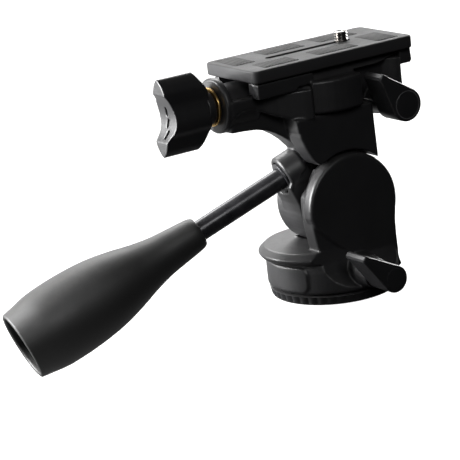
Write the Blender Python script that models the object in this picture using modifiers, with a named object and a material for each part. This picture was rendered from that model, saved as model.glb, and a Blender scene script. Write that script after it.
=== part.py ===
"""Three way pan tilt head for a tripod, with a side tilt and a quick release plate.

X points forward, the way the camera looks. Y points to the left and Z up.
The origin is the middle of the flat underside that the tripod's seat touches.
"""

import math

import bmesh
import bpy
from mathutils import Matrix, Vector

# Clearance between pieces that touch, and the bend below which faces count as one flat face
GAP = 0.0003
FLAT_ANGLE = math.radians(0.05)

# Heights of the three turning axes and of the plate
TILT_Z = 0.0420
ROLL_Z = 0.0965
PLATE_TOP = 0.1120

# Fixed base
RING_TOP_R = 0.0303
RING_LOW_R = 0.0292
RING_H = 0.0042
RIB_DEPTH = 0.0006
RIB_COUNT = 42
RING_BORE_R = 0.0090
RING_HUB_R = 0.0120
RING_HUB_TOP = 0.0080
SEAT_RECESS_R = 0.0130
SEAT_RECESS_H = 0.0006
BUSH_R = 0.0066
BUSH_BORE_R = 0.0046
BUSH_LOW = 0.0009
BUSH_TOP = 0.0080
SPINDLE_LOW = 0.0012
FLANGE_R = 0.0175
FLANGE_LOW = 0.0104
FLANGE_TOP = 0.0144
FLOOR_R = 0.0194
FLOOR_LOW = 0.0052
FLOOR_TOP = 0.0090
WASHER_T = 0.0008

# Pan body
BODY_R = 0.0301
BODY_LOW = 0.0049
BODY_SIDE_TOP = 0.0125
BODY_TOP = 0.0205
BODY_TOP_R = 0.0225
BODY_CHAMFER = 0.0008
CAVITY_R = 0.0197
CAVITY_TOP = 0.0160
PAD_R = 0.0127
PAD_X = -0.0217
PAD_Z = 0.0266
PAD_H = 0.0080
PAD_CHAMFER = 0.0012
PAD_LEAN = math.radians(15)
BLOCK_X0 = -0.0285
BLOCK_X1 = -0.0120
BLOCK_HALF_Y = 0.0125
BLOCK_Z0 = 0.0055
BLOCK_Z1 = 0.0185

# Ear beside the hub
EAR_R = 0.0215
EAR_OUT_Y = -0.0213
EAR_IN_Y = -0.0113
WEB_OUT_Y = -0.0200
WEB_IN_Y = -0.0117
EAR_ROUND = 0.0012
WEB_ROUND = 0.0015
WEB_FRONT_X = 0.0213
WEB_BACK_X = -0.0232
WEB_FOOT_X = -0.0170
WEB_FOOT_Z = 0.0080

# Pan lock
LOCK_Z = 0.0125
LOCK_BOSS_R = 0.0078
LOCK_BOSS_TIP_R = 0.0070
LOCK_BOSS_Y = -0.0345
LOCK_BORE_R = 0.0033
LOCK_SCREW_R = 0.0030
LOCK_HUB_R = 0.0062
LOCK_HUB_IN_Y = -0.0349
LOCK_HUB_OUT_Y = -0.0490
LOCK_CAP_R = 0.0056
LOCK_CAP_T = 0.0012
LOCK_TIP_X = -0.0172
LOCK_TIP_Z = 0.0245
SHOE_OUT_Y = -0.0205

# Tilt axle and hub
AXLE_R = 0.0040
AXLE_BORE_R = 0.0043
AXLE_HEAD_Y = -0.0190
AXLE_END_Y = 0.0190
HUB_R = 0.0200
HUB_IN_Y = -0.0097
HUB_OUT_Y = 0.0120
HUB_ROUND = 0.0010
HUB_CLEAR = 0.0008
NUT_R = 0.0075
NUT_T = 0.0050

# Neck
NECK_OUT_Y = -0.0200
NECK_IN_Y = 0.0032
NECK_TOP = 0.0862
NECK_FRONT_X = 0.0168
NECK_ROUND = 0.0020
EAR_CLEAR_R = 0.0240
DRUM_R = 0.0255
DRUM_ROUND = 0.0008
DRUM_LOW = 0.0868
REAR_DRUM_TOP = 0.1001
REAR_DRUM_IN_Y = 0.0004
SEAM_X = -0.0150
TUBE_R = 0.0088
TUBE_LOW_R = 0.0118
TUBE_BACK_X = -0.0545
FLANGE_T = 0.0036
FLANGE_DISC_R = 0.0125
ROLL_BORE_R = 0.0045
NECK_LAP_Y = -0.0070
COLUMN_NEAR_Y = -0.0094
GOOSE_FRONT = 0.0101
GOOSE_H = 0.0352
GOOSE_NEAR_Y = -0.0093
GOOSE_FAR_Y = 0.0027
GOOSE_EDGE = 0.0010
NECK_SCREW_R = 0.0016
NECK_SCREW_X = -0.0053
NECK_SCREW_Z = 0.0800
NECK_SCREW_LEN = 0.0040

# Handle, along its own axis from the back face of the neck's boss
HANDLE_ROOT = Vector((-0.0226, 0.0, 0.0570))
HANDLE_END = Vector((-0.1465, 0.0220, 0.0082))
BOSS_R = 0.0096
BOSS_LEN = 0.0125
BOSS_DOME = 0.0034
RIB_R = 0.0087
RIB_LEN = 0.0080
HANDLE_BUSH_R = 0.0070
HANDLE_BORE_R = 0.0051
ROD_R = 0.0048
ROD_IN = 0.0150
TIP_BORE_R = 0.0033
TIP_IN = 0.0160
TIP_R = 0.0030
TIP_LEN = 0.0040
GRIP_START = 0.0400
GRIP_LEN = 0.0945
GRIP_WALL = 0.0022
GRIP_SOLID = 0.0480
GRIP_ROUND = 0.0010

# Wing knob
SHAFT_R = 0.0042
SHAFT_BACK_X = -0.0700
SHAFT_FRONT_X = 0.0080
KNOB_BACK_X = -0.0815
KNOB_FRONT_X = -0.0590
KNOB_HALF_H = 0.0175
KNOB_COLLAR_R = 0.0078
KNOB_COLLAR_X = -0.0570
KNOB_POCKET = 0.0012
BRASS_R = 0.0088
BRASS_BORE_R = 0.0046
BRASS_T = 0.0016
INSERT_R = 0.0062
INSERT_FRONT_X = -0.0574
INSERT_BACK_X = -0.0730

# Platform
TRAY_X0 = -0.0425
TRAY_X1 = 0.0355
TRAY_TOP = 0.1060
TRAY_LOW = 0.1006
TRAY_HALF_TOP = 0.0150
TRAY_HALF_LOW = 0.0192
TRAY_ROUND = 0.0005
NOTCH_HALF = 0.0120
POCKET_X0 = -0.0120
POCKET_X1 = 0.0300
POCKET_HALF = 0.0095
POCKET_LOW = 0.1035
FRONT_DRUM_IN_Y = 0.0012
LEVER_X = 0.0229
LEVER_Z = 0.0856
LEVER_BOSS_OUT_Y = -0.0238
LEVER_BOSS_IN_Y = -0.0040
LEVER_BOSS_TIP_R = 0.0062
LEVER_BOSS_ROOT_R = 0.0080
LEVER_BORE_R = 0.0028

# Release lever
LEVER_IN_Y = -0.0242
LEVER_OUT_Y = -0.0375
LEVER_HUB_R = 0.0076
LEVER_CAP_R = 0.0070
LEVER_CAP_T = 0.0013
LEVER_TIP_X = 0.0105
LEVER_TIP_Z = 0.1008
LEVER_TIP_HALF = 0.0015
LEVER_ROUND = 0.0006
CAP_GROOVE_R = 0.0052
CAP_GROOVE_W = 0.0005
CAP_GROOVE_D = 0.0004
CAP_SEAT = 0.0010
PIVOT_R = 0.0025
PIVOT_IN_Y = -0.0060

# Front jaw
JAW_X0 = 0.0376
JAW_X1 = 0.0432
JAW_HALF = 0.0175
JAW_LOW = 0.0996
JAW_TOP = 0.1075
JAW_LIP = 0.0014
JAW_TONGUE_X0 = 0.0305
JAW_TONGUE_HALF = 0.0070
JAW_TONGUE_LOW = 0.1022
JAW_TONGUE_TOP = 0.1045
JAW_ROUND = 0.0005

# Quick release plate
PLATE_X0 = -0.0440
PLATE_X1 = 0.0370
PLATE_HALF = 0.0204
PLATE_LOW = 0.1063
PLATE_CORNER = 0.0035
PLATE_EDGE = 0.0007
FOOT_X0 = -0.0115
FOOT_X1 = 0.0295
FOOT_HALF = 0.0090
FOOT_LOW = 0.1039
SLOT_X0 = -0.0300
SLOT_X1 = 0.0250
SLOT_HALF = 0.0016
SCREW_X = 0.0165
SCREW_HOLE_R = 0.0034
PAD_DEPTH = 0.0008
PAD_RISE = 0.0003
SIDE_PAD_Y0 = 0.0040
SIDE_PAD_Y1 = 0.0165
END_PAD_LEN = 0.0110
PAD_CORNER = 0.0015
SIDE_SPLIT_X = -0.0025
PAD_SPACE = 0.0018

# Camera screw
CAMERA_R = 0.0031
CAMERA_TOP = 0.1178
CAMERA_HEAD_R = 0.0068
CAMERA_HEAD_T = 0.0014
CAMERA_TIP = 0.0008
RING_CLIP_R = 0.0050
RING_CLIP_T = 0.0006


def empty_scene():
    """Remove what the new file opens with."""
    for item in list(bpy.data.objects):
        bpy.data.objects.remove(item)


def collection(name):
    home = bpy.data.collections.new(name)
    bpy.context.scene.collection.children.link(home)
    return home


def material(name, colour, roughness, metallic=0.0):
    made = bpy.data.materials.new(name)
    made.use_nodes = True
    shader = made.node_tree.nodes["Principled BSDF"]
    shader.inputs["Base Color"].default_value = (*colour, 1.0)
    shader.inputs["Roughness"].default_value = roughness
    shader.inputs["Metallic"].default_value = metallic
    return made


empty_scene()
PARTS = collection("three_way_pan_tilt_head")
SHAPING = collection("shaping")

CAST = material("black_painted_casting", (0.030, 0.030, 0.032), 0.42)
PLASTIC = material("black_moulded_plastic", (0.022, 0.022, 0.024), 0.38)
GRIP = material("black_grip_plastic", (0.026, 0.026, 0.027), 0.55)
RUBBER = material("black_rubber", (0.035, 0.035, 0.036), 0.85)
PLATE = material("grey_plate_plastic", (0.060, 0.061, 0.063), 0.50)
STEEL = material("bright_steel", (0.620, 0.620, 0.630), 0.28, 1.0)
DARK_STEEL = material("blackened_steel", (0.055, 0.055, 0.060), 0.30, 1.0)
BRASS = material("brass", (0.780, 0.570, 0.270), 0.30, 1.0)
FIBRE = material("friction_fibre", (0.240, 0.170, 0.110), 0.75)


def add(name, mesh, surface=None, home=PARTS):
    """Link a mesh as an object of the head, or as a shaping tool when it has no material."""
    made = bpy.data.objects.new(name, mesh)
    home.objects.link(made)
    if surface:
        mesh.materials.clear()
        mesh.materials.append(surface)
    if home is SHAPING:
        made.hide_render = True
        made.display_type = "WIRE"
    return made


def smooth(mesh, degrees=35):
    mesh.shade_smooth()
    mesh.set_sharp_from_angle(angle=math.radians(degrees))


def mesh_from(shape, weld=0.000001):
    """Evaluated mesh of an object, welded, in place of that object."""
    graph = bpy.context.evaluated_depsgraph_get()
    mesh = bpy.data.meshes.new_from_object(shape.evaluated_get(graph))
    mesh.transform(shape.matrix_world)
    bpy.data.objects.remove(shape)
    work = bmesh.new()
    work.from_mesh(mesh)
    bmesh.ops.remove_doubles(work, verts=work.verts, dist=weld)
    bmesh.ops.dissolve_limit(work, angle_limit=FLAT_ANGLE, verts=work.verts, edges=work.edges)
    work.to_mesh(mesh)
    work.free()
    return mesh


def turned(profile, steps=40, axis=None):
    """Solid of revolution. The profile is (radius, height) from the top down its outer side."""
    mesh = bpy.data.meshes.new("profile")
    points = [(radius, 0.0, height) for radius, height in profile]
    edges = [(k, k + 1) for k in range(len(points) - 1)]
    if profile[0][0] > 0.0 and profile[-1][0] > 0.0:
        edges.append((len(points) - 1, 0))
    mesh.from_pydata(points, edges, [])
    shape = add("turning", mesh, home=SHAPING)
    screw = shape.modifiers.new("Turn", "SCREW")
    screw.steps = steps
    screw.render_steps = steps
    screw.use_merge_vertices = True
    screw.merge_threshold = 0.000001
    if axis:
        shape.matrix_world = axis
        bpy.context.view_layer.update()
    return mesh_from(shape)


def tube(profile_radius, low, high, steps=40, bore=None, chamfer=0.0, axis=None):
    """Plain round bar or ring with optional chamfers on its outer edges."""
    inner = bore if bore else 0.0
    outer = [(profile_radius, high), (profile_radius, low)]
    if chamfer:
        outer = [
            (profile_radius - chamfer, high),
            (profile_radius, high - chamfer),
            (profile_radius, low + chamfer),
            (profile_radius - chamfer, low),
        ]
    return turned([(inner, high), *outer, (inner, low)], steps, axis)


def outline(points, low, high, edge=0.0, axis=None, resolution=2):
    """Flat outline extruded from low to high, its rims rounded by edge."""
    curve = bpy.data.curves.new("outline", "CURVE")
    curve.dimensions = "2D"
    curve.fill_mode = "BOTH"
    curve.extrude = (high - low) / 2 - edge
    curve.bevel_depth = edge
    curve.bevel_resolution = resolution
    curve.offset = -edge
    spline = curve.splines.new("POLY")
    spline.points.add(len(points) - 1)
    for slot, (x, y) in zip(spline.points, points):
        slot.co = (x, y, 0.0, 1.0)
    spline.use_cyclic_u = True
    shape = add("outline", curve, home=SHAPING)
    middle = Matrix.Translation((0.0, 0.0, (low + high) / 2))
    shape.matrix_world = (axis or Matrix.Identity(4)) @ middle
    bpy.context.view_layer.update()
    return mesh_from(shape)


def box(low, high):
    """Box between two corners."""
    mesh = bpy.data.meshes.new("box")
    work = bmesh.new()
    bmesh.ops.create_cube(work, size=1.0)
    size = [b - a for a, b in zip(low, high)]
    bmesh.ops.scale(work, vec=size, verts=work.verts)
    bmesh.ops.translate(work, vec=[(a + b) / 2 for a, b in zip(low, high)], verts=work.verts)
    work.to_mesh(mesh)
    work.free()
    return mesh


def combine(target, mesh, operation, label):
    """Join to, cut from or keep within the target the shape of another mesh."""
    tool = add(f"{target.name}_{label}", mesh, home=SHAPING)
    step = target.modifiers.new(label, "BOOLEAN")
    step.operation = operation
    step.solver = "EXACT"
    step.object = tool
    tool.parent = target
    return tool


def join(target, mesh, label):
    return combine(target, mesh, "UNION", label)


def cut(target, mesh, label):
    return combine(target, mesh, "DIFFERENCE", label)


def bevel(target, width, segments=2, degrees=40):
    step = target.modifiers.new("Edges", "BEVEL")
    step.width = width
    step.segments = segments
    step.limit_method = "ANGLE"
    step.angle_limit = math.radians(degrees)
    step.harden_normals = False
    return step


def along_y(x, z, start=0.0):
    """Frame whose own Z runs to -Y, its own X forward and its own Y up."""
    return Matrix.Translation((x, start, z)) @ Matrix.Rotation(math.radians(90), 4, "X")


def along_x(y, z):
    """Frame whose own Z runs forward along +X."""
    return Matrix.Translation((0.0, y, z)) @ Matrix.Rotation(math.radians(90), 4, "Y")


def arc(cx, cy, radius, start, end, count):
    """Points on an arc, angles in degrees."""
    turns = [math.radians(start + (end - start) * k / count) for k in range(count + 1)]
    return [(cx + radius * math.cos(t), cy + radius * math.sin(t)) for t in turns]


def rounded_rectangle(x0, x1, y0, y1, radius, count=4):
    corners = [
        (x1 - radius, y1 - radius, 0),
        (x0 + radius, y1 - radius, 90),
        (x0 + radius, y0 + radius, 180),
        (x1 - radius, y0 + radius, 270),
    ]
    points = []
    for cx, cy, start in corners:
        points += arc(cx, cy, radius, start, start + 90, count)
    return points


def spline_through(points, count):
    """Smooth open curve through a few points, count steps between each pair."""
    made = []
    ends = [points[0], *points, points[-1]]
    for k in range(1, len(ends) - 2):
        a, b, c, d = (Vector(p) for p in ends[k - 1 : k + 3])
        for j in range(count):
            t = j / count
            made.append(
                0.5
                * (
                    2 * b
                    + (c - a) * t
                    + (2 * a - 5 * b + 4 * c - d) * t * t
                    + (3 * b - a - 3 * c + d) * t * t * t
                )
            )
    made.append(Vector(points[-1]))
    return [tuple(p) for p in made]


def loft(rings):
    """Closed skin over rings of equal point counts, with flat ends."""
    mesh = bpy.data.meshes.new("loft")
    work = bmesh.new()
    rows = [[work.verts.new(p) for p in ring] for ring in rings]
    size = len(rows[0])
    for a, b in zip(rows, rows[1:]):
        for k in range(size):
            work.faces.new((a[k], a[(k + 1) % size], b[(k + 1) % size], b[k]))
    work.faces.new(list(reversed(rows[0])))
    work.faces.new(rows[-1])
    bmesh.ops.recalc_face_normals(work, faces=work.faces)
    work.to_mesh(mesh)
    work.free()
    return mesh


# Fixed base: ribbed ring, threaded bush, spindle and friction washer


def base():
    ring = bpy.data.meshes.new("base_ring")
    work = bmesh.new()
    bmesh.ops.create_cone(
        work,
        cap_ends=True,
        segments=RIB_COUNT * 2,
        radius1=RING_LOW_R,
        radius2=RING_TOP_R,
        depth=RING_H,
        matrix=Matrix.Translation((0.0, 0.0, RING_H / 2)),
    )
    for vert in work.verts:
        turn = math.atan2(vert.co.y, vert.co.x) * RIB_COUNT / math.pi
        if round(turn) % 2:
            shrink = 1 - RIB_DEPTH / math.hypot(vert.co.x, vert.co.y)
            vert.co.x *= shrink
            vert.co.y *= shrink
    work.to_mesh(ring)
    work.free()
    ring = add("base_ring", ring, CAST)
    join(ring, tube(RING_HUB_R, RING_H / 2, RING_HUB_TOP), "hub")
    cut(ring, tube(RING_BORE_R, -RING_H, RING_HUB_TOP + RING_H), "bore")
    cut(ring, tube(SEAT_RECESS_R, -RING_H, SEAT_RECESS_H), "recess")

    bush = add("tripod_thread_bush", tube(BUSH_R, BUSH_LOW, BUSH_TOP, 32, BUSH_BORE_R), BRASS)
    smooth(bush.data)

    stem = RING_BORE_R - GAP
    neck = RING_HUB_R - GAP
    profile = [
        (0.0, FLANGE_TOP),
        (FLANGE_R, FLANGE_TOP),
        (FLANGE_R, FLANGE_LOW),
        (neck, FLANGE_LOW),
        (neck, RING_HUB_TOP + GAP),
        (stem, RING_HUB_TOP + GAP),
        (stem, SPINDLE_LOW),
        (BUSH_R + GAP, SPINDLE_LOW),
        (BUSH_R + GAP, BUSH_TOP + GAP),
        (0.0, BUSH_TOP + GAP),
    ]
    spindle = add("pan_spindle", turned(profile), STEEL)
    smooth(spindle.data)

    low = FLOOR_TOP + GAP
    washer = add("pan_friction_washer", tube(FLANGE_R, low, low + WASHER_T, 40, RING_HUB_R), FIBRE)
    smooth(washer.data)


# Pan body: low casting, ear, retaining ring, lock and axle


def web_outline():
    """Side outline of the wall that carries the ear, in X and Z."""
    back = [
        (-EAR_R, TILT_Z),
        (WEB_BACK_X, TILT_Z - EAR_R * 0.30),
        (WEB_BACK_X, TILT_Z - EAR_R * 0.48),
        (WEB_BACK_X + EAR_R * 0.05, TILT_Z - EAR_R * 0.83),
        (WEB_BACK_X + EAR_R * 0.14, TILT_Z - EAR_R * 1.15),
        (WEB_FOOT_X, WEB_FOOT_Z),
    ]
    points = arc(0.0, TILT_Z, EAR_R - EAR_ROUND, 0, 180, 16)
    return [*points, *back[1:], (WEB_FRONT_X, WEB_FOOT_Z)]


def pan_body():
    profile = [
        (0.0, BODY_TOP),
        (BODY_TOP_R, BODY_TOP),
        (BODY_R - BODY_CHAMFER * 2, BODY_SIDE_TOP + BODY_CHAMFER * 2),
        (BODY_R, BODY_SIDE_TOP - BODY_CHAMFER),
        (BODY_R, BODY_LOW + BODY_CHAMFER),
        (BODY_R - BODY_CHAMFER, BODY_LOW),
        (0.0, BODY_LOW),
    ]
    housing = add("pan_housing", turned(profile, 48), CAST)
    lean = Matrix.Translation((PAD_X, 0.0, PAD_Z)) @ Matrix.Rotation(-PAD_LEAN, 4, "Y")
    join(housing, box((BLOCK_X0, -BLOCK_HALF_Y, BLOCK_Z0), (BLOCK_X1, BLOCK_HALF_Y, BLOCK_Z1)), "back")
    join(housing, tube(PAD_R, -PAD_H, 0.0, 48, None, PAD_CHAMFER, lean), "pad")
    web = outline(web_outline(), -WEB_IN_Y, -WEB_OUT_Y, WEB_ROUND, along_y(0.0, 0.0))
    join(housing, web, "web")
    ear = tube(EAR_R, -EAR_IN_Y, -EAR_OUT_Y, 48, None, EAR_ROUND, along_y(0.0, TILT_Z))
    join(housing, ear, "ear")
    boss = turned(
        [
            (0.0, -LOCK_BOSS_Y),
            (LOCK_BOSS_TIP_R, -LOCK_BOSS_Y),
            (LOCK_BOSS_R, -WEB_OUT_Y),
            (0.0, -WEB_OUT_Y),
        ],
        40,
        along_y(0.0, LOCK_Z),
    )
    join(housing, boss, "boss")
    cut(housing, tube(CAVITY_R, -BODY_TOP, CAVITY_TOP, 48), "cavity")
    hub_room = tube(HUB_R + HUB_CLEAR, -HUB_R * 2, -EAR_IN_Y, 48, None, 0.0, along_y(0.0, TILT_Z))
    cut(housing, hub_room, "hub_room")
    lock_bore = tube(LOCK_BORE_R, CAVITY_R - BODY_CHAMFER, -LOCK_BOSS_Y + BODY_R, 24, None, 0.0, along_y(0.0, LOCK_Z))
    cut(housing, lock_bore, "lock_bore")
    axle_bore = tube(AXLE_BORE_R, 0.0, -AXLE_HEAD_Y + GAP, 32, None, 0.0, along_y(0.0, TILT_Z))
    cut(housing, axle_bore, "axle_bore")
    smooth(housing.data)

    floor = tube(FLOOR_R, FLOOR_LOW, FLOOR_TOP, 40, RING_HUB_R + GAP)
    retainer = add("pan_retaining_ring", floor, STEEL)
    smooth(retainer.data)

    shoe_in = FLANGE_R + GAP
    shoe = tube(LOCK_SCREW_R, shoe_in, -SHOE_OUT_Y, 24, None, 0.0, along_y(0.0, LOCK_Z))
    smooth(add("pan_lock_shoe", shoe, BRASS).data)

    axle = tube(AXLE_R, -AXLE_END_Y, -AXLE_HEAD_Y, 32, None, HUB_ROUND / 2, along_y(0.0, TILT_Z))
    smooth(add("tilt_axle", axle, STEEL).data)
    low = HUB_OUT_Y + GAP
    spring = tube(NUT_R + HUB_ROUND, -low - WASHER_T, -low, 40, AXLE_BORE_R, 0.0, along_y(0.0, TILT_Z))
    smooth(add("tilt_axle_washer", spring, STEEL).data)
    start = low + WASHER_T + GAP
    nut = outline(
        arc(0.0, 0.0, NUT_R, 0, 300, 5),
        -start - NUT_T,
        -start,
        0.0,
        along_y(0.0, TILT_Z),
    )
    nut = add("tilt_axle_nut", nut, STEEL)
    bore = tube(AXLE_R + GAP, -start - NUT_T * 2, -start + NUT_T, 32, None, 0.0, along_y(0.0, TILT_Z))
    cut(nut, bore, "bore")


def wing_lever(name, hub_r, tip, tip_half, inner, outer, cap_r, cap_t, edge):
    """Lever with a round hub at its own origin and one arm that narrows to the tip."""
    reach = math.hypot(*tip)
    turn = math.degrees(math.atan2(tip[1], tip[0]))
    points = arc(0.0, 0.0, hub_r, turn + 65, turn + 295, 20)
    side = Vector((-math.sin(math.radians(turn)), math.cos(math.radians(turn))))
    end = Vector(tip)
    back = end * (1 - tip_half * 1.5 / reach)
    points.append(tuple(back - side * tip_half * 1.15))
    points.append(tuple(end - side * tip_half * 0.7))
    points.append(tuple(end + side * tip_half * 0.7))
    points.append(tuple(back + side * tip_half * 1.15))
    frame = Matrix.Rotation(math.radians(90), 4, "X")
    arm = add(name, outline(points, inner, outer, edge, frame), PLASTIC)
    cut(arm, tube(cap_r + GAP, outer - CAP_SEAT, outer + CAP_SEAT, 40, None, 0.0, frame), "cap_seat")
    smooth(arm.data)
    low = outer - CAP_SEAT + GAP
    groove = [
        (0.0, low + cap_t),
        (CAP_GROOVE_R * cap_r / LEVER_CAP_R - CAP_GROOVE_W, low + cap_t),
        (CAP_GROOVE_R * cap_r / LEVER_CAP_R - CAP_GROOVE_W, low + cap_t - CAP_GROOVE_D),
        (CAP_GROOVE_R * cap_r / LEVER_CAP_R + CAP_GROOVE_W, low + cap_t - CAP_GROOVE_D),
        (CAP_GROOVE_R * cap_r / LEVER_CAP_R + CAP_GROOVE_W, low + cap_t),
        (cap_r - CAP_GROOVE_D, low + cap_t),
        (cap_r, low + cap_t - CAP_GROOVE_D),
        (cap_r, low),
        (0.0, low),
    ]
    cap = add(f"{name}_cap", turned(groove, 40, frame), PLASTIC)
    smooth(cap.data)
    return arm, cap


def place(items, position):
    for item in items:
        item.location = position


def pan_lock():
    tip = (LOCK_TIP_X, LOCK_TIP_Z - LOCK_Z)
    arm, cap = wing_lever(
        "pan_lock_lever",
        LOCK_HUB_R,
        tip,
        LEVER_TIP_HALF,
        -LOCK_HUB_IN_Y,
        -LOCK_HUB_OUT_Y,
        LOCK_CAP_R,
        LOCK_CAP_T,
        LEVER_ROUND,
    )
    end = -LOCK_HUB_OUT_Y - CAP_SEAT - LOCK_CAP_T
    frame = Matrix.Rotation(math.radians(90), 4, "X")
    cut(arm, tube(LOCK_SCREW_R + GAP, 0.0, end + GAP, 24, None, 0.0, frame), "screw_hole")
    screw = tube(LOCK_SCREW_R, -SHOE_OUT_Y + GAP, end, 24, None, 0.0, frame)
    screw = add("pan_lock_screw", screw, STEEL)
    smooth(screw.data)
    place((arm, cap, screw), (0.0, 0.0, LOCK_Z))


# Tilting neck


def handle_frame():
    """Frame at the boss's back face whose own Z runs out along the handle."""
    line = (HANDLE_END - HANDLE_ROOT).normalized()
    return Matrix.Translation(HANDLE_ROOT) @ line.to_track_quat("Z", "Y").to_matrix().to_4x4()


def neck_outline():
    """Side outline of the column, in X and Z, from the hub up to the drum."""
    back = spline_through(
        [
            (-HUB_R + HUB_ROUND, TILT_Z),
            (-HUB_R * 0.80, TILT_Z + 0.0110),
            (-HUB_R * 0.66, TILT_Z + 0.0190),
            (-HUB_R * 0.70, TILT_Z + 0.0260),
            (-HUB_R * 0.92, TILT_Z + 0.0330),
            (-HUB_R * 1.20, TILT_Z + 0.0385),
        ],
        4,
    )
    front = [
        (NECK_FRONT_X, NECK_TOP),
        (NECK_FRONT_X + NECK_ROUND * 0.3, TILT_Z + 0.0180),
        (HUB_R - HUB_ROUND, TILT_Z),
    ]
    return [*back, (-DRUM_R + NECK_ROUND * 0.4, NECK_TOP), *front]


def gooseneck_outline():
    """Bracket that carries the back bearing tube, in X and Z."""
    under = spline_through(
        [
            (-GOOSE_FRONT, ROLL_Z - GOOSE_H),
            (-GOOSE_FRONT * 1.5, ROLL_Z - GOOSE_H * 0.84),
            (-GOOSE_FRONT * 2.1, ROLL_Z - GOOSE_H * 0.64),
            (-GOOSE_FRONT * 2.9, ROLL_Z - GOOSE_H * 0.47),
            (-GOOSE_FRONT * 3.8, ROLL_Z - GOOSE_H * 0.37),
            (-GOOSE_FRONT * 5.1, ROLL_Z - GOOSE_H * 0.34),
        ],
        2,
    )
    top = ROLL_Z - ROLL_BORE_R * 0.8
    seam = SEAM_X - GAP * 2
    shoulder = NECK_TOP - NECK_ROUND
    return [*under, (under[-1][0], top), (seam, top), (seam, shoulder), (-GOOSE_FRONT, shoulder)]


def neck():
    near = outline(neck_outline(), -NECK_LAP_Y, -NECK_OUT_Y, NECK_ROUND * 0.5, along_y(0.0, 0.0))
    body = add("tilt_neck", near, CAST)
    clear = tube(EAR_CLEAR_R, 0.0, -NECK_OUT_Y * 2, 60, None, 0.0, along_y(0.0, TILT_Z))
    cut(body, clear, "ear_clearance")
    column = outline(neck_outline(), -NECK_IN_Y, -COLUMN_NEAR_Y, NECK_ROUND * 0.25, along_y(0.0, 0.0))
    upper = add("neck_column", column, home=SHAPING)
    step = body.modifiers.new("column", "BOOLEAN")
    step.operation = "UNION"
    step.solver = "EXACT"
    step.object = upper
    hub = tube(HUB_R, -HUB_OUT_Y, -HUB_IN_Y, 48, None, HUB_ROUND, along_y(0.0, TILT_Z))
    join(body, hub, "hub")
    goose = outline(gooseneck_outline(), -GOOSE_FAR_Y, -GOOSE_NEAR_Y, GOOSE_EDGE, along_y(0.0, 0.0), 1)
    join(body, goose, "gooseneck")
    drum = add("rear_drum", tube(DRUM_R, NECK_TOP - DRUM_ROUND * 4, REAR_DRUM_TOP, 48, None, DRUM_ROUND), home=SHAPING)
    keep = box((-DRUM_R * 2, -DRUM_R * 2, 0.0), (SEAM_X - GAP, REAR_DRUM_IN_Y, REAR_DRUM_TOP * 2))
    combine(drum, keep, "INTERSECT", "keep")
    step = body.modifiers.new("drum", "BOOLEAN")
    step.operation = "UNION"
    step.solver = "EXACT"
    step.object = drum
    join(body, tube(TUBE_R, TUBE_BACK_X + FLANGE_T / 2, SEAM_X - GAP, 48, None, 0.0, along_x(0.0, ROLL_Z)), "tube")
    flange = tube(FLANGE_DISC_R, TUBE_BACK_X, TUBE_BACK_X + FLANGE_T, 48, None, DRUM_ROUND, along_x(0.0, ROLL_Z))
    join(body, flange, "flange")

    frame = handle_frame()
    boss = turned(
        [
            (0.0, 0.0),
            (BOSS_R - DRUM_ROUND, 0.0),
            (BOSS_R, -DRUM_ROUND),
            (BOSS_R, -BOSS_LEN + BOSS_DOME),
            (BOSS_R * 0.82, -BOSS_LEN + BOSS_DOME * 0.4),
            (BOSS_R * 0.5, -BOSS_LEN),
            (0.0, -BOSS_LEN),
        ],
        40,
        frame,
    )
    join(body, boss, "boss")
    ribs = [(0.0, -BOSS_LEN + BOSS_DOME)]
    count = 4
    for k in range(count):
        start = -BOSS_LEN - RIB_LEN * k / count
        ribs.append((RIB_R, start))
        ribs.append((RIB_R, start - RIB_LEN / count * 0.5))
        ribs.append((RIB_R - RIB_DEPTH, start - RIB_LEN / count * 0.7))
    ribs.append((0.0, -BOSS_LEN - RIB_LEN))
    join(body, turned(ribs, 40, frame), "ribs")
    lug = outline(
        [
            (-HUB_R * 0.99, TILT_Z - 0.0020),
            (-HUB_R * 1.04, TILT_Z + 0.0030),
            (-0.0248, TILT_Z + 0.0115),
            (-0.0232, TILT_Z + 0.0150),
            (-HUB_R * 0.4, TILT_Z + 0.0150),
            (-HUB_R * 0.4, TILT_Z - 0.0020),
        ],
        -BOSS_R * 0.7,
        -HUB_IN_Y - GAP,
        DRUM_ROUND,
        along_y(0.0, 0.0),
    )
    join(body, lug, "lug")

    near_side = tube(EAR_CLEAR_R, GAP / 2 - HUB_IN_Y, -NECK_OUT_Y * 2, 60, None, 0.0, along_y(0.0, TILT_Z))
    cut(body, near_side, "ear_room")
    cut(body, tube(AXLE_BORE_R, -HUB_R * 2, HUB_R * 2, 32, None, 0.0, along_y(0.0, TILT_Z)), "axle_bore")
    cut(body, tube(ROLL_BORE_R, -HUB_R * 4, 0.0, 32, None, 0.0, along_x(0.0, ROLL_Z)), "roll_bore")
    bush_hole = turned(
        [
            (0.0, BOSS_LEN),
            (HANDLE_BUSH_R + GAP, BOSS_LEN),
            (HANDLE_BUSH_R + GAP, -BOSS_LEN),
            (TIP_BORE_R, -BOSS_LEN),
            (TIP_BORE_R, -ROD_IN - TIP_LEN - GAP * 4),
            (0.0, -ROD_IN - TIP_LEN - GAP * 4),
        ],
        32,
        frame,
    )
    cut(body, bush_hole, "handle_bore")
    screw_hole = tube(NECK_SCREW_R + GAP, -NECK_OUT_Y - NECK_SCREW_LEN, HUB_R * 2, 20, None, 0.0, along_y(NECK_SCREW_X, NECK_SCREW_Z))
    cut(body, screw_hole, "screw_hole")
    smooth(body.data)

    start = -HUB_IN_Y + GAP
    washer = tube(HUB_R - HUB_ROUND, start, -EAR_IN_Y - GAP, 48, AXLE_BORE_R + GAP, 0.0, along_y(0.0, TILT_Z))
    smooth(add("tilt_friction_washer", washer, FIBRE).data)

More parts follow.
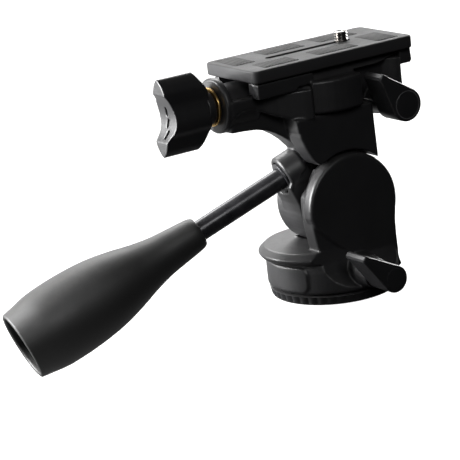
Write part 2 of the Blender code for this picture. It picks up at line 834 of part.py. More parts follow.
    bush = tube(HANDLE_BUSH_R, -BOSS_LEN + GAP, DRUM_ROUND, 32, HANDLE_BORE_R, 0.0, frame)
    smooth(add("handle_bush", bush, DARK_STEEL).data)

    low = -NECK_OUT_Y - NECK_SCREW_LEN + GAP
    screw = tube(NECK_SCREW_R, low, -NECK_OUT_Y - GAP, 20, None, GAP, along_y(NECK_SCREW_X, NECK_SCREW_Z))
    smooth(add("neck_set_screw", screw, STEEL).data)


# Handle


def grip_radii():
    """Outer radius of the grip as shares of its length and of its widest radius."""
    widest = 0.0190
    shares = [
        (0.00, 0.36),
        (0.03, 0.41),
        (0.12, 0.46),
        (0.22, 0.52),
        (0.32, 0.62),
        (0.41, 0.74),
        (0.50, 0.85),
        (0.58, 0.93),
        (0.67, 0.985),
        (0.76, 1.00),
        (0.86, 0.965),
        (0.95, 0.89),
        (1.00, 0.84),
    ]
    return [(widest * radius, GRIP_START + GRIP_LEN * share) for share, radius in shares]


def handle():
    frame = handle_frame()
    origin = Matrix.Translation(-HANDLE_ROOT) @ frame
    tip = TIP_R
    profile = [
        (0.0, GRIP_START + GRIP_SOLID * 0.8),
        (ROD_R, GRIP_START + GRIP_SOLID * 0.8),
        (ROD_R, -BOSS_LEN + GAP * 5),
        (tip, -BOSS_LEN + GAP),
        (tip, -ROD_IN),
        (0.0, -ROD_IN),
    ]
    rod = add("handle_rod", turned(profile, 32, origin), DARK_STEEL)
    smooth(rod.data)

    outer = grip_radii()
    wall = GRIP_WALL
    inner = [(radius - wall, height) for radius, height in outer if height > GRIP_START + GRIP_SOLID]
    bottom = GRIP_START + GRIP_SOLID
    bore = ROD_R + GAP
    profile = [
        (bore, GRIP_START + GRIP_SOLID * 0.8 + GAP),
        (0.0, GRIP_START + GRIP_SOLID * 0.8 + GAP),
    ]
    loop = [(0.0, bottom), (inner[0][0], bottom), *inner[1:]]
    shape = [*loop, *reversed(outer), (bore, GRIP_START), *profile]
    grip = add("handle_grip", turned(shape, 40, origin), GRIP)
    smooth(grip.data)
    place((rod, grip), HANDLE_ROOT)

    shoe = tube(TIP_R, -ROD_IN - TIP_LEN, -ROD_IN - GAP, 24, None, 0.0, frame)
    smooth(add("tilt_lock_shoe", shoe, BRASS).data)


# Side tilt lock at the back


def knob_profile():
    """S shaped section of the wing knob, as shares of half its height, in Y and Z."""
    half = [
        (-0.15, 1.00),
        (-0.34, 0.80),
        (-0.44, 0.52),
        (-0.60, 0.26),
        (-0.64, 0.00),
        (-0.50, -0.24),
        (-0.20, -0.46),
        (0.00, -0.70),
        (0.06, -0.92),
    ]
    whole = half + [(-y, -z) for y, z in half]
    return [(KNOB_HALF_H * y, KNOB_HALF_H * z) for y, z in whole]


def wing_knob():
    loop = knob_profile()
    smooth_loop = spline_through([*loop, loop[0]], 2)[:-1]
    # the outline's own X is down and its own Y is to the left when its Z runs forward
    flat = [(-z, y) for y, z in smooth_loop]
    wings = outline(flat, KNOB_BACK_X, KNOB_FRONT_X, LEVER_ROUND, along_x(0.0, 0.0), 1)
    knob = add("side_tilt_knob", wings, PLASTIC)
    collar = tube(KNOB_COLLAR_R, KNOB_FRONT_X - LEVER_ROUND * 4, KNOB_COLLAR_X, 40, None, LEVER_ROUND / 2, along_x(0.0, 0.0))
    join(knob, collar, "collar")
    bore = tube(INSERT_R + GAP, INSERT_BACK_X - GAP, 0.0, 32, None, 0.0, along_x(0.0, 0.0))
    cut(knob, bore, "insert_bore")
    smooth(knob.data)
    sleeve = add("side_tilt_knob_insert", tube(INSERT_R, INSERT_BACK_X, INSERT_FRONT_X, 32, None, 0.0, along_x(0.0, 0.0)), STEEL)
    cut(sleeve, tube(SHAFT_R + GAP, SHAFT_BACK_X - GAP * 2, 0.0, 32, None, 0.0, along_x(0.0, 0.0)), "bore")
    smooth(sleeve.data)
    place((knob, sleeve), (0.0, 0.0, ROLL_Z))

    high = TUBE_BACK_X - GAP
    brass = tube(BRASS_R, high - BRASS_T, high, 48, BRASS_BORE_R, GAP, along_x(0.0, 0.0))
    brass = add("side_tilt_brass_washer", brass, BRASS)
    smooth(brass.data)
    brass.location = (0.0, 0.0, ROLL_Z)


# Platform that tilts to the side


def platform():
    section = [
        (-TRAY_HALF_LOW, TRAY_LOW),
        (-TRAY_HALF_LOW, TRAY_LOW + TRAY_ROUND),
        (-TRAY_HALF_TOP, TRAY_TOP),
        (TRAY_HALF_TOP, TRAY_TOP),
        (TRAY_HALF_LOW, TRAY_LOW + TRAY_ROUND),
        (TRAY_HALF_LOW, TRAY_LOW),
    ]
    rings = [[(x, y, z) for y, z in section] for x in (TRAY_X0, TRAY_X1)]
    tray = add("platform", loft(rings), CAST)
    notch = box((TRAY_X0 * 2, -NOTCH_HALF, TRAY_LOW / 2), (SEAM_X, NOTCH_HALF, TRAY_TOP * 2))
    cut(tray, notch, "notch")
    drum = add("front_drum", tube(DRUM_R, DRUM_LOW, TRAY_LOW + TRAY_ROUND * 2, 48, None, DRUM_ROUND), home=SHAPING)
    keep = box((SEAM_X, -DRUM_R * 2, 0.0), (DRUM_R * 2, FRONT_DRUM_IN_Y, TRAY_TOP * 2))
    combine(drum, keep, "INTERSECT", "keep")
    step = tray.modifiers.new("drum", "BOOLEAN")
    step.operation = "UNION"
    step.solver = "EXACT"
    step.object = drum
    boss = turned(
        [
            (0.0, -LEVER_BOSS_OUT_Y),
            (LEVER_BOSS_TIP_R, -LEVER_BOSS_OUT_Y),
            (LEVER_BOSS_ROOT_R, -LEVER_BOSS_IN_Y * 2),
            (LEVER_BOSS_ROOT_R, -LEVER_BOSS_IN_Y),
            (0.0, -LEVER_BOSS_IN_Y),
        ],
        40,
        along_y(LEVER_X + GAP * 8, LEVER_Z),
    )
    front = [
        (NECK_FRONT_X + GAP * 3, TRAY_LOW + TRAY_ROUND * 2),
        (NECK_FRONT_X + GAP * 3, LEVER_Z - LEVER_BOSS_ROOT_R * 0.5),
        (LEVER_X, LEVER_Z - LEVER_BOSS_ROOT_R * 0.9),
        (LEVER_X + LEVER_BOSS_ROOT_R, LEVER_Z - LEVER_BOSS_ROOT_R * 0.2),
        (TRAY_X1 - TRAY_ROUND * 4, TRAY_LOW + TRAY_ROUND * 2),
    ]
    block = outline(list(reversed(front)), -FRONT_DRUM_IN_Y, BLOCK_HALF_Y + NECK_ROUND, DRUM_ROUND, along_y(0.0, 0.0))
    join(tray, block, "front_block")
    join(tray, boss, "lever_boss")
    pocket = box((POCKET_X0, -POCKET_HALF, POCKET_LOW), (POCKET_X1, POCKET_HALF, TRAY_TOP * 2))
    cut(tray, pocket, "pocket")
    tongue = box(
        (JAW_TONGUE_X0 - GAP, -JAW_TONGUE_HALF - GAP, JAW_TONGUE_LOW - GAP),
        (TRAY_X1 * 2, JAW_TONGUE_HALF + GAP, JAW_TONGUE_TOP + GAP),
    )
    cut(tray, tongue, "tongue_slot")
    cut(tray, tube(SHAFT_R + GAP, -TRAY_X1, SHAFT_FRONT_X + GAP, 32, None, 0.0, along_x(0.0, ROLL_Z)), "shaft_bore")
    cut(tray, tube(LEVER_BORE_R, -PIVOT_IN_Y - GAP, DRUM_R * 2, 24, None, 0.0, along_y(LEVER_X, LEVER_Z)), "pivot_bore")
    head = tube(CAMERA_HEAD_R + GAP * 3, POCKET_LOW - CAMERA_HEAD_T, TRAY_TOP, 40, None, 0.0, Matrix.Translation((SCREW_X, 0.0, 0.0)))
    cut(tray, head, "screw_room")
    smooth(tray.data)

    shaft = tube(SHAFT_R, SHAFT_BACK_X, SHAFT_FRONT_X, 32, None, GAP, along_x(0.0, ROLL_Z))
    smooth(add("side_tilt_shaft", shaft, STEEL).data)


def release_lever():
    arm, cap = wing_lever(
        "release_lever",
        LEVER_HUB_R,
        (LEVER_TIP_X - LEVER_X, LEVER_TIP_Z - LEVER_Z),
        LEVER_TIP_HALF,
        -LEVER_IN_Y,
        -LEVER_OUT_Y,
        LEVER_CAP_R,
        LEVER_CAP_T,
        LEVER_ROUND,
    )
    frame = Matrix.Rotation(math.radians(90), 4, "X")
    end = -LEVER_OUT_Y - CAP_SEAT - LEVER_CAP_T
    cut(arm, tube(PIVOT_R + GAP, 0.0, end + GAP, 24, None, 0.0, frame), "screw_hole")
    screw = add("release_lever_screw", tube(PIVOT_R, -PIVOT_IN_Y, end, 24, None, 0.0, frame), STEEL)
    smooth(screw.data)
    place((arm, cap, screw), (LEVER_X, 0.0, LEVER_Z))


def front_jaw():
    side = [
        (JAW_X0, JAW_LOW),
        (JAW_X1 - JAW_LIP, JAW_LOW),
        (JAW_X1, JAW_LOW + JAW_LIP),
        (JAW_X1 - JAW_LIP, JAW_TOP),
        (JAW_X0, JAW_TOP),
    ]
    jaw = add("front_jaw", outline(side, -JAW_HALF, JAW_HALF, JAW_ROUND, along_y(0.0, 0.0)), CAST)
    tongue = box(
        (JAW_TONGUE_X0, -JAW_TONGUE_HALF, JAW_TONGUE_LOW),
        (JAW_X1 - JAW_LIP * 2, JAW_TONGUE_HALF, JAW_TONGUE_TOP),
    )
    join(jaw, tongue, "tongue")
    smooth(jaw.data)


# Quick release plate and camera screw


def pad_boxes():
    """Names and corners of the six pads, in X and Y."""
    x0 = PLATE_X0 + PAD_SPACE
    x1 = PLATE_X1 - PAD_SPACE
    rows = [
        ("plate_pad_back", x0, x0 + END_PAD_LEN, -SIDE_PAD_Y1, SIDE_PAD_Y1),
        ("plate_pad_front", x1 - END_PAD_LEN, x1, -SIDE_PAD_Y1, SIDE_PAD_Y1),
    ]
    for side, word in ((1, "left"), (-1, "right")):
        low, high = sorted((side * SIDE_PAD_Y0, side * SIDE_PAD_Y1))
        middle = SIDE_SPLIT_X
        start = x0 + END_PAD_LEN + PAD_SPACE
        finish = x1 - END_PAD_LEN - PAD_SPACE
        rows.append((f"plate_pad_{word}_back", start, middle - PAD_SPACE / 2, low, high))
        rows.append((f"plate_pad_{word}_front", middle + PAD_SPACE / 2, finish, low, high))
    return rows


def plate():
    rim = rounded_rectangle(PLATE_X0, PLATE_X1, -PLATE_HALF, PLATE_HALF, PLATE_CORNER, 5)
    slab = add("release_plate", outline(rim, PLATE_LOW, PLATE_TOP, PLATE_EDGE), PLATE)
    foot = box((FOOT_X0, -FOOT_HALF, FOOT_LOW), (FOOT_X1, FOOT_HALF, PLATE_TOP - PLATE_EDGE * 2))
    join(slab, foot, "foot")
    slot = rounded_rectangle(SLOT_X0, SLOT_X1, -SLOT_HALF * 2, SLOT_HALF * 2, SLOT_HALF * 1.9, 5)
    cut(slab, outline(slot, FOOT_LOW / 2, PLATE_TOP * 2), "slot")
    under = CAMERA_HEAD_R + GAP * 2
    head_room = box((FOOT_X0 * 3, -under, FOOT_LOW / 2), (FOOT_X1 - GAP * 4, under, PLATE_LOW + CAMERA_HEAD_T))
    cut(slab, head_room, "head_room")
    for name, x0, x1, y0, y1 in pad_boxes():
        well = rounded_rectangle(x0, x1, y0, y1, PAD_CORNER, 3)
        cut(slab, outline(well, PLATE_TOP - PAD_DEPTH, PLATE_TOP * 2), f"{name}_well")
        skin = rounded_rectangle(x0 + GAP, x1 - GAP, y0 + GAP, y1 - GAP, PAD_CORNER - GAP, 3)
        pad = add(name, outline(skin, PLATE_TOP - PAD_DEPTH + GAP, PLATE_TOP + PAD_RISE), RUBBER)
        smooth(pad.data)
    smooth(slab.data)


def camera_screw():
    low = PLATE_LOW - CAMERA_HEAD_T / 2
    profile = [
        (0.0, CAMERA_TOP),
        (CAMERA_R - CAMERA_TIP, CAMERA_TOP),
        (CAMERA_R, CAMERA_TOP - CAMERA_TIP),
        (CAMERA_R, low + CAMERA_HEAD_T),
        (CAMERA_HEAD_R, low + CAMERA_HEAD_T),
        (CAMERA_HEAD_R, low),
        (0.0, low),
    ]
    screw = add("camera_screw", turned(profile, 32), STEEL)
    smooth(screw.data)
    screw.location = (SCREW_X, 0.0, 0.0)


base()
pan_body()
pan_lock()
neck()
handle()
wing_knob()
platform()
release_lever()
front_jaw()
plate()
camera_screw()
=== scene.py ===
# %% [markdown]
# # A three way pan tilt head
# The head turns on its base, leans on the axle in its ear and rolls its platform to the side.
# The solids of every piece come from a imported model. This lesson dresses them: it keeps the plain
# solids that nobody sees, and makes finer ones for what shows, each riding on the same body.

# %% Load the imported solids
import math

import bmesh
import bpy
from mathutils import Matrix, Vector


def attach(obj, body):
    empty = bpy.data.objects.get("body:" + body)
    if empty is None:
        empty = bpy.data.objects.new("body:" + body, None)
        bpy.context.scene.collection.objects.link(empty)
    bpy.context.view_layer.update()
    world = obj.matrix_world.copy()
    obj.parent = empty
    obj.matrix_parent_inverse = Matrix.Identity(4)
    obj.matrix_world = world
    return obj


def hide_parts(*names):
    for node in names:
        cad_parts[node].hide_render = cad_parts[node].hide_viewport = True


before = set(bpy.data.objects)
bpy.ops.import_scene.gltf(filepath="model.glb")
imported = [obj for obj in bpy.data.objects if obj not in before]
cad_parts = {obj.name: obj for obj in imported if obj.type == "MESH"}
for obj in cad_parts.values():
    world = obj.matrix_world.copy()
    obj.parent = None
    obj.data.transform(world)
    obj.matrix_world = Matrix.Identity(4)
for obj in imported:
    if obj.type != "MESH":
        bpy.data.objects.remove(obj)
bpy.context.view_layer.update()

# %% [markdown]
# ## Frames and shapes
# Most pieces of the head are either turned or cut from a flat outline, so two makers do nearly all
# of the work. Everything is written in millimetres and turned into metres in one place.

# %% Millimetres and frames
MM = 0.001
TILT_Z = 42.0
ROLL_Z = 96.5


def metres(point):
    """A point in millimetres as a vector in metres."""
    return Vector(point) * MM


def facing_right(x=0.0, y=0.0, z=0.0):
    """Frame whose own Z points to the right of the head, along -Y, with its own Y up."""
    return Matrix.Translation(metres((x, y, z))) @ Matrix.Rotation(math.pi / 2, 4, "X")


def facing_front(x=0.0, y=0.0, z=0.0):
    """Frame whose own Z points forward, along +X, with its own X down."""
    return Matrix.Translation(metres((x, y, z))) @ Matrix.Rotation(math.pi / 2, 4, "Y")


def upright(x=0.0, y=0.0, z=0.0):
    """Frame with its axes along the head's own."""
    return Matrix.Translation(metres((x, y, z)))


print(f"tilt axis {TILT_Z} mm and roll axis {ROLL_Z} mm above the base")

# %% [markdown]
# A finished mesh becomes a piece in one step: it gets its material, smooth shading that breaks at
# real edges, and the body it rides on. If it stands for a plain solid, that solid is hidden.

# %% Make a mesh into a piece of the head
def piece(name, mesh, finish, body, *stands_for, angle=32):
    made = bpy.data.objects.new(name, mesh)
    bpy.context.scene.collection.objects.link(made)
    mesh.materials.clear()
    mesh.materials.append(finish)
    mesh.shade_smooth()
    mesh.set_sharp_from_angle(angle=math.radians(angle))
    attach(made, body)
    if stands_for:
        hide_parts(*stands_for)
    print(f"{name}: {len(mesh.polygons)} faces on {body}")
    return made


def keep(node, finish):
    """A solid whose own shape is right only gets its finish."""
    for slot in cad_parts[node].material_slots:
        slot.material = finish


# %% [markdown]
# A lathe turns a profile about an axis. The profile here is a list of radius and height, and each
# point becomes one ring of the mesh. Points at radius zero close the ends.

# %% Turn a profile
ON_AXIS = 1e-6


def turned(profile, frame_at, steps=96, shape=None):
    """Closed solid of revolution. shape(turn, radius, height) may move a point of it."""
    work = bmesh.new()
    rings = []
    for radius, height in profile:
        if radius < ON_AXIS:
            rings.append([work.verts.new(metres((0.0, 0.0, height)))])
            continue
        ring = []
        for k in range(steps):
            turn = 2 * math.pi * k / steps
            r, h = shape(turn, radius, height) if shape else (radius, height)
            ring.append(work.verts.new(metres((r * math.cos(turn), r * math.sin(turn), h))))
        rings.append(ring)
    if profile[0][0] > ON_AXIS:
        rings.append(rings[0])
    for a, b in zip(rings, rings[1:]):
        for k in range(steps):
            corners = [a[k % len(a)], a[(k + 1) % len(a)], b[(k + 1) % len(b)], b[k % len(b)]]
            corners = list(dict.fromkeys(corners))
            if len(corners) > 2:
                work.faces.new(corners)
    bmesh.ops.recalc_face_normals(work, faces=work.faces)
    work.transform(frame_at)
    mesh = bpy.data.meshes.new("turned")
    work.to_mesh(mesh)
    work.free()
    return mesh


# %% [markdown]
# A sharp rim looks drawn, not made. Each corner of a profile is swapped for a short curve, unless it
# is nearly straight already or has no room for one.

# %% Round the corners of a profile
NEARLY_STRAIGHT = 2.9
NO_ROOM = 0.02


def rounded(profile, radius, steps=4):
    """Profile whose inner corners are rounded, so that every rim catches light."""
    made = [profile[0]]
    for a, b, c in zip(profile, profile[1:], profile[2:]):
        p, q, s = Vector(a), Vector(b), Vector(c)
        one, two = p - q, s - q
        reach = min(radius, one.length * 0.45, two.length * 0.45)
        if one.angle(two, math.pi) > NEARLY_STRAIGHT or reach < NO_ROOM:
            made.append(b)
            continue
        start, end = q + one.normalized() * reach, q + two.normalized() * reach
        for k in range(steps + 1):
            t = k / steps
            made.append(tuple((1 - t) ** 2 * start + 2 * t * (1 - t) * q + t * t * end))
    made.append(profile[-1])
    return made


# %% [markdown]
# Levers, the plate, the jaw and the wing knob are flat outlines with rounded rims. A closed curve
# gives exactly that: its outline is filled, extruded for thickness and its bevel rounds the rim.

# %% Cut a rounded slab from an outline
WELD = 0.00001


def slab(points, low, high, rim, frame_at, rim_steps=4):
    """Outline given a thickness from low to high, with rims of radius rim. Points run anticlockwise."""
    curve = bpy.data.curves.new("outline", "CURVE")
    curve.dimensions = "2D"
    curve.fill_mode = "BOTH"
    curve.extrude = ((high - low) / 2 - rim) * MM
    curve.bevel_depth = rim * MM
    curve.bevel_resolution = rim_steps
    curve.offset = -rim * MM
    line = curve.splines.new("POLY")
    line.points.add(len(points) - 1)
    for point, (x, y) in zip(line.points, points):
        point.co = (x * MM, y * MM, 0.0, 1.0)
    line.use_cyclic_u = True
    shape = bpy.data.objects.new("outline", curve)
    bpy.context.scene.collection.objects.link(shape)
    bpy.context.view_layer.update()
    graph = bpy.context.evaluated_depsgraph_get()
    mesh = bpy.data.meshes.new_from_object(shape.evaluated_get(graph))
    bpy.data.objects.remove(shape)
    mesh.transform(frame_at @ upright(0.0, 0.0, (low + high) / 2))
    work = bmesh.new()
    work.from_mesh(mesh)
    bmesh.ops.remove_doubles(work, verts=work.verts, dist=WELD)
    bmesh.ops.recalc_face_normals(work, faces=work.faces)
    work.to_mesh(mesh)
    work.free()
    return mesh


# %% [markdown]
# Outlines are made of arcs, rectangles with round corners, and lines that flow through a few measured
# points. The flowing line is a cubic curve that passes through every point it is given.

# %% Lines for outlines
def arc(x, y, radius, start, end, steps=24):
    """Points on a circle, from one angle in degrees to another."""
    turns = [math.radians(start + (end - start) * k / steps) for k in range(steps + 1)]
    return [(x + radius * math.cos(t), y + radius * math.sin(t)) for t in turns]


def rounded_rectangle(x0, x1, y0, y1, radius, steps=8):
    corners = ((x1 - radius, y1 - radius, 0), (x0 + radius, y1 - radius, 90),
               (x0 + radius, y0 + radius, 180), (x1 - radius, y0 + radius, 270))
    return [p for x, y, turn in corners for p in arc(x, y, radius, turn, turn + 90, steps)]


def flowing(points, steps=6, closed=False):
    """Smooth line through a few points."""
    count = len(points)
    made = []
    for k in range(count if closed else count - 1):
        a, b, c, d = (Vector(points[j % count] if closed else points[min(max(j, 0), count - 1)])
                      for j in (k - 1, k, k + 1, k + 2))
        for j in range(steps):
            t = j / steps
            made.append(tuple(0.5 * (2 * b + (c - a) * t + (2 * a - 5 * b + 4 * c - d) * t * t
                                     + (3 * b - a - 3 * c + d) * t ** 3)))
    return made if closed else made + [tuple(points[-1])]


def merged(*meshes):
    """Several meshes as one, for details that stand on the same piece."""
    work = bmesh.new()
    for mesh in meshes:
        work.from_mesh(mesh)
    made = bpy.data.meshes.new("merged")
    work.to_mesh(made)
    work.free()
    return made


# %% [markdown]
# ## Castings
# The neck, the pan body and the platform are die castings, each the sum of plain forms with some
# room cut away. An exact Boolean does the cutting, and can keep the shared part as well.

# %% Cut a mesh, or keep part of it
SAME_POINT = 0.000002


def carved(mesh, other, operation="DIFFERENCE"):
    """Mesh with the other one taken away, or with only what both share."""
    pair = [bpy.data.objects.new("shape", data) for data in (mesh, other)]
    for shape in pair:
        bpy.context.scene.collection.objects.link(shape)
    step = pair[0].modifiers.new("Cut", "BOOLEAN")
    step.operation = operation
    step.solver = "EXACT"
    step.object = pair[1]
    bpy.context.view_layer.update()
    graph = bpy.context.evaluated_depsgraph_get()
    made = bpy.data.meshes.new_from_object(pair[0].evaluated_get(graph))
    for shape in pair:
        bpy.data.objects.remove(shape)
    return made


def block(low, high):
    """Box between two corners, as a cutter or as the room that something is kept in."""
    work = bmesh.new()
    bmesh.ops.create_cube(work, size=1.0)
    low, high = metres(low), metres(high)
    size = Matrix.Diagonal((*(high - low), 1.0))
    work.transform(Matrix.Translation((low + high) / 2) @ size)
    made = bpy.data.meshes.new("block")
    work.to_mesh(made)
    work.free()
    return made


def solid(node):
    """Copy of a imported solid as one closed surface."""
    work = bmesh.new()
    work.from_mesh(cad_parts[node].data)
    bmesh.ops.remove_doubles(work, verts=work.verts, dist=SAME_POINT)
    made = bpy.data.meshes.new("solid")
    work.to_mesh(made)
    work.free()
    return made


# %% [markdown]
# Castings have soft edges and small fillets where two forms meet. A voxel remesh joins the forms, and
# a few rounds of smoothing then give both at once, without a bevel on every single edge.

# %% Soften a form like a casting
def casting(*meshes, voxel=0.4, rounds=6):
    """Closed forms joined into one skin. voxel is the size of its grid in millimetres."""
    shape = bpy.data.objects.new("casting", merged(*meshes))
    bpy.context.scene.collection.objects.link(shape)
    remesh = shape.modifiers.new("Remesh", "REMESH")
    remesh.mode = "VOXEL"
    remesh.voxel_size = voxel * MM
    soften = shape.modifiers.new("Soften", "SMOOTH")
    soften.factor = 0.5
    soften.iterations = rounds
    bpy.context.view_layer.update()
    graph = bpy.context.evaluated_depsgraph_get()
    mesh = bpy.data.meshes.new_from_object(shape.evaluated_get(graph))
    bpy.data.objects.remove(shape)
    return mesh


# %% [markdown]
# ## Finishes
# Every surface is black or bright metal, so the finish lies in small things: the grain of paint, the
# fine matt texture of moulded plastic, rubbed edges and a little dust. Effects that several finishes
# share are node groups with named inputs, each built once.

# %% A node group with named inputs and outputs
def group(name, inputs, outputs):
    tree = bpy.data.node_groups.new(name, "ShaderNodeTree")
    for label, value in inputs.items():
        socket = tree.interface.new_socket(label, in_out="INPUT", socket_type="NodeSocketFloat")
        socket.default_value = value
    for label in outputs:
        tree.interface.new_socket(label, in_out="OUTPUT", socket_type="NodeSocketFloat")
    start = tree.nodes.new("NodeGroupInput")
    end = tree.nodes.new("NodeGroupOutput")
    print(f"group {name}: {', '.join(inputs)} in, {', '.join(outputs)} out")
    return tree, start, end


def node(tree, kind, **settings):
    made = tree.nodes.new("ShaderNode" + kind)
    for label, value in settings.items():
        setattr(made, label, value)
    return made


def maths(tree, operation, a, b=None, clamp=False):
    """One Math node, fed by sockets or numbers."""
    made = node(tree, "Math", operation=operation, use_clamp=clamp)
    for slot, value in zip(made.inputs, (a, b)):
        if value is None:
            continue
        if isinstance(value, (int, float)):
            slot.default_value = value
        else:
            tree.links.new(value, slot)
    return made.outputs[0]


def noise(tree, scale, detail=3.0, roughness=0.55, offset=0.0):
    """Noise over the object's own space, its scale a number or a socket."""
    place = node(tree, "TexCoord").outputs["Object"]
    if offset:
        # An offset keeps two noises of one scale apart.
        shift = node(tree, "Mapping")
        shift.inputs["Location"].default_value = (offset, offset * 1.7, offset * 0.6)
        tree.links.new(place, shift.inputs["Vector"])
        place = shift.outputs["Vector"]
    made = node(tree, "TexNoise")
    made.inputs["Detail"].default_value = detail
    made.inputs["Roughness"].default_value = roughness
    tree.links.new(place, made.inputs["Vector"])
    if isinstance(scale, (int, float)):
        made.inputs["Scale"].default_value = scale
    else:
        tree.links.new(scale, made.inputs["Scale"])
    return made.outputs["Fac"]


# %% [markdown]
# Grain is a sum of two noises, one fine and one a few times coarser. It feeds a Bump node in the
# material, because paint and moulded plastic are never quite level.

# %% Grain group
GRAIN, start, end = group("Surface Grain", {"Scale": 2500.0, "Coarse Share": 0.4}, ("Height",))
fine = noise(GRAIN, start.outputs["Scale"], 2.0, 0.6)
coarse_scale = maths(GRAIN, "MULTIPLY", start.outputs["Scale"], 0.22)
coarse = noise(GRAIN, coarse_scale, 3.0, 0.5, 0.3)
blend_in = maths(GRAIN, "MULTIPLY", coarse, start.outputs["Coarse Share"])
GRAIN.links.new(maths(GRAIN, "ADD", fine, blend_in), end.inputs["Height"])

# %% [markdown]
# Rubbed edges use Pointiness, which is high on convex edges. A noise breaks the mask up, since wear
# is never an even line.

# %% Edge wear group
WEAR, start, end = group("Rubbed Edges", {"Edge": 0.53, "Patch Scale": 180.0, "Amount": 0.5}, ("Mask",))
point = node(WEAR, "NewGeometry").outputs["Pointiness"]
lift = maths(WEAR, "SUBTRACT", point, start.outputs["Edge"])
ridge = maths(WEAR, "MULTIPLY", lift, 14.0, True)
patch = noise(WEAR, start.outputs["Patch Scale"], 4.0, 0.65)
broken = maths(WEAR, "MULTIPLY", maths(WEAR, "SUBTRACT", patch, 0.38, True), 2.6, True)
worn_edge = maths(WEAR, "MULTIPLY", ridge, broken)
WEAR.links.new(maths(WEAR, "MULTIPLY", worn_edge, start.outputs["Amount"]), end.inputs["Mask"])

# %% [markdown]
# Handling leaves parts of a surface a little glossier. One slow noise drives the roughness of every
# finish between two values.

# %% Handling group
HANDLED, start, end = group("Handled Gloss", {"Scale": 60.0, "Low": 0.35, "High": 0.5}, ("Roughness",))
slow = noise(HANDLED, start.outputs["Scale"], 4.0, 0.6, 0.8)
spread = node(HANDLED, "MapRange")
spread.inputs["From Min"].default_value = 0.32
spread.inputs["From Max"].default_value = 0.68
HANDLED.links.new(slow, spread.inputs["Value"])
HANDLED.links.new(start.outputs["Low"], spread.inputs["To Min"])
HANDLED.links.new(start.outputs["High"], spread.inputs["To Max"])
HANDLED.links.new(spread.outputs["Result"], end.inputs["Roughness"])

# %% [markdown]
# Dust settles on faces that look up, most of all in a faint, cloudy film. The mask reads the true
# normal and a noise.

# %% Dust group
DUST, start, end = group("Settled Dust", {"Amount": 0.1, "Scale": 220.0}, ("Mask",))
split = node(DUST, "SeparateXYZ")
DUST.links.new(node(DUST, "NewGeometry").outputs["Normal"], split.inputs[0])
up = maths(DUST, "MULTIPLY", maths(DUST, "SUBTRACT", split.outputs["Z"], 0.35, True), 1.5, True)
cloud = maths(DUST, "SUBTRACT", noise(DUST, start.outputs["Scale"], 5.0, 0.7, 1.3), 0.3, True)
settled = maths(DUST, "MULTIPLY", up, cloud)
DUST.links.new(maths(DUST, "MULTIPLY", settled, start.outputs["Amount"]), end.inputs["Mask"])

# %% [markdown]
# One builder puts the groups together. Each finish then states only what sets it apart: its colour,
# the colour its edges rub to, its gloss and its grain.

# %% Build a finish
DUST_COLOUR = (0.42, 0.40, 0.37, 1.0)


def placed(tree, made_of, **values):
    """One use of a shared group, with values for its inputs by name."""
    made = node(tree, "Group")
    made.node_tree = made_of
    for label, value in values.items():
        made.inputs[label.replace("_", " ")].default_value = value
    return made


def finish(name, colour, worn, gloss, grain, metal=0.0, wear=0.3, dust=0.1, bump=0.02, edge=0.53,
           handled=60.0):
    """A material: its colour, its rubbed colour, lowest and highest roughness, and scale of grain."""
    made = bpy.data.materials.new(name)
    made.use_nodes = True
    tree = made.node_tree
    shader = tree.nodes["Principled BSDF"]
    shader.inputs["Metallic"].default_value = metal
    tint = node(tree, "MixRGB")
    tint.inputs["Color1"].default_value = (*colour, 1.0)
    tint.inputs["Color2"].default_value = (*worn, 1.0)
    tree.links.new(placed(tree, WEAR, Edge=edge, Amount=wear).outputs["Mask"], tint.inputs["Fac"])
    film = node(tree, "MixRGB")
    film.inputs["Color2"].default_value = DUST_COLOUR
    tree.links.new(tint.outputs["Color"], film.inputs["Color1"])
    tree.links.new(placed(tree, DUST, Amount=dust).outputs["Mask"], film.inputs["Fac"])
    tree.links.new(film.outputs["Color"], shader.inputs["Base Color"])
    tree.links.new(placed(tree, HANDLED, Scale=handled, Low=gloss[0], High=gloss[1]).outputs["Roughness"],
                   shader.inputs["Roughness"])
    rise = node(tree, "Bump")
    rise.inputs["Strength"].default_value = 1.0
    rise.inputs["Distance"].default_value = bump * MM
    tree.links.new(placed(tree, GRAIN, Scale=grain).outputs["Height"], rise.inputs["Height"])
    tree.links.new(rise.outputs["Normal"], shader.inputs["Normal"])
    return made


# %% [markdown]
# The castings wear black paint with a fine orange peel. Moulded levers are blacker and smoother, and
# the grip has a fine matt texture. The metals differ in colour and gloss alone. Plate and pads get
# less specular light than the rest, because their tops are seen at a flat angle.

# %% All finishes of the head
PAINT = finish("black_paint_on_casting", (0.016, 0.016, 0.017), (0.10, 0.10, 0.10), (0.34, 0.46), 1500.0,
               bump=0.035)
MOULDED = finish("black_moulded_plastic", (0.014, 0.014, 0.015), (0.06, 0.06, 0.06), (0.30, 0.42), 2600.0,
                 bump=0.012)
GRIP = finish("matt_grip_plastic", (0.018, 0.018, 0.018), (0.05, 0.05, 0.05), (0.46, 0.58), 3000.0,
              bump=0.03, handled=35.0)
PLATE = finish("dark_plate_plastic", (0.020, 0.020, 0.021), (0.07, 0.07, 0.07), (0.50, 0.62), 3200.0,
               bump=0.03, dust=0.10)
RUBBER = finish("pad_rubber", (0.022, 0.022, 0.022), (0.05, 0.05, 0.05), (0.50, 0.64), 2800.0,
                bump=0.03, dust=0.12)
BLACKENED = finish("blackened_steel", (0.022, 0.022, 0.025), (0.16, 0.16, 0.17), (0.24, 0.34), 2000.0,
                   metal=0.4, bump=0.006)
SCREW = finish("camera_screw_steel", (0.20, 0.19, 0.18), (0.7, 0.7, 0.7), (0.18, 0.3), 1800.0,
               metal=1.0, bump=0.006, dust=0.0)
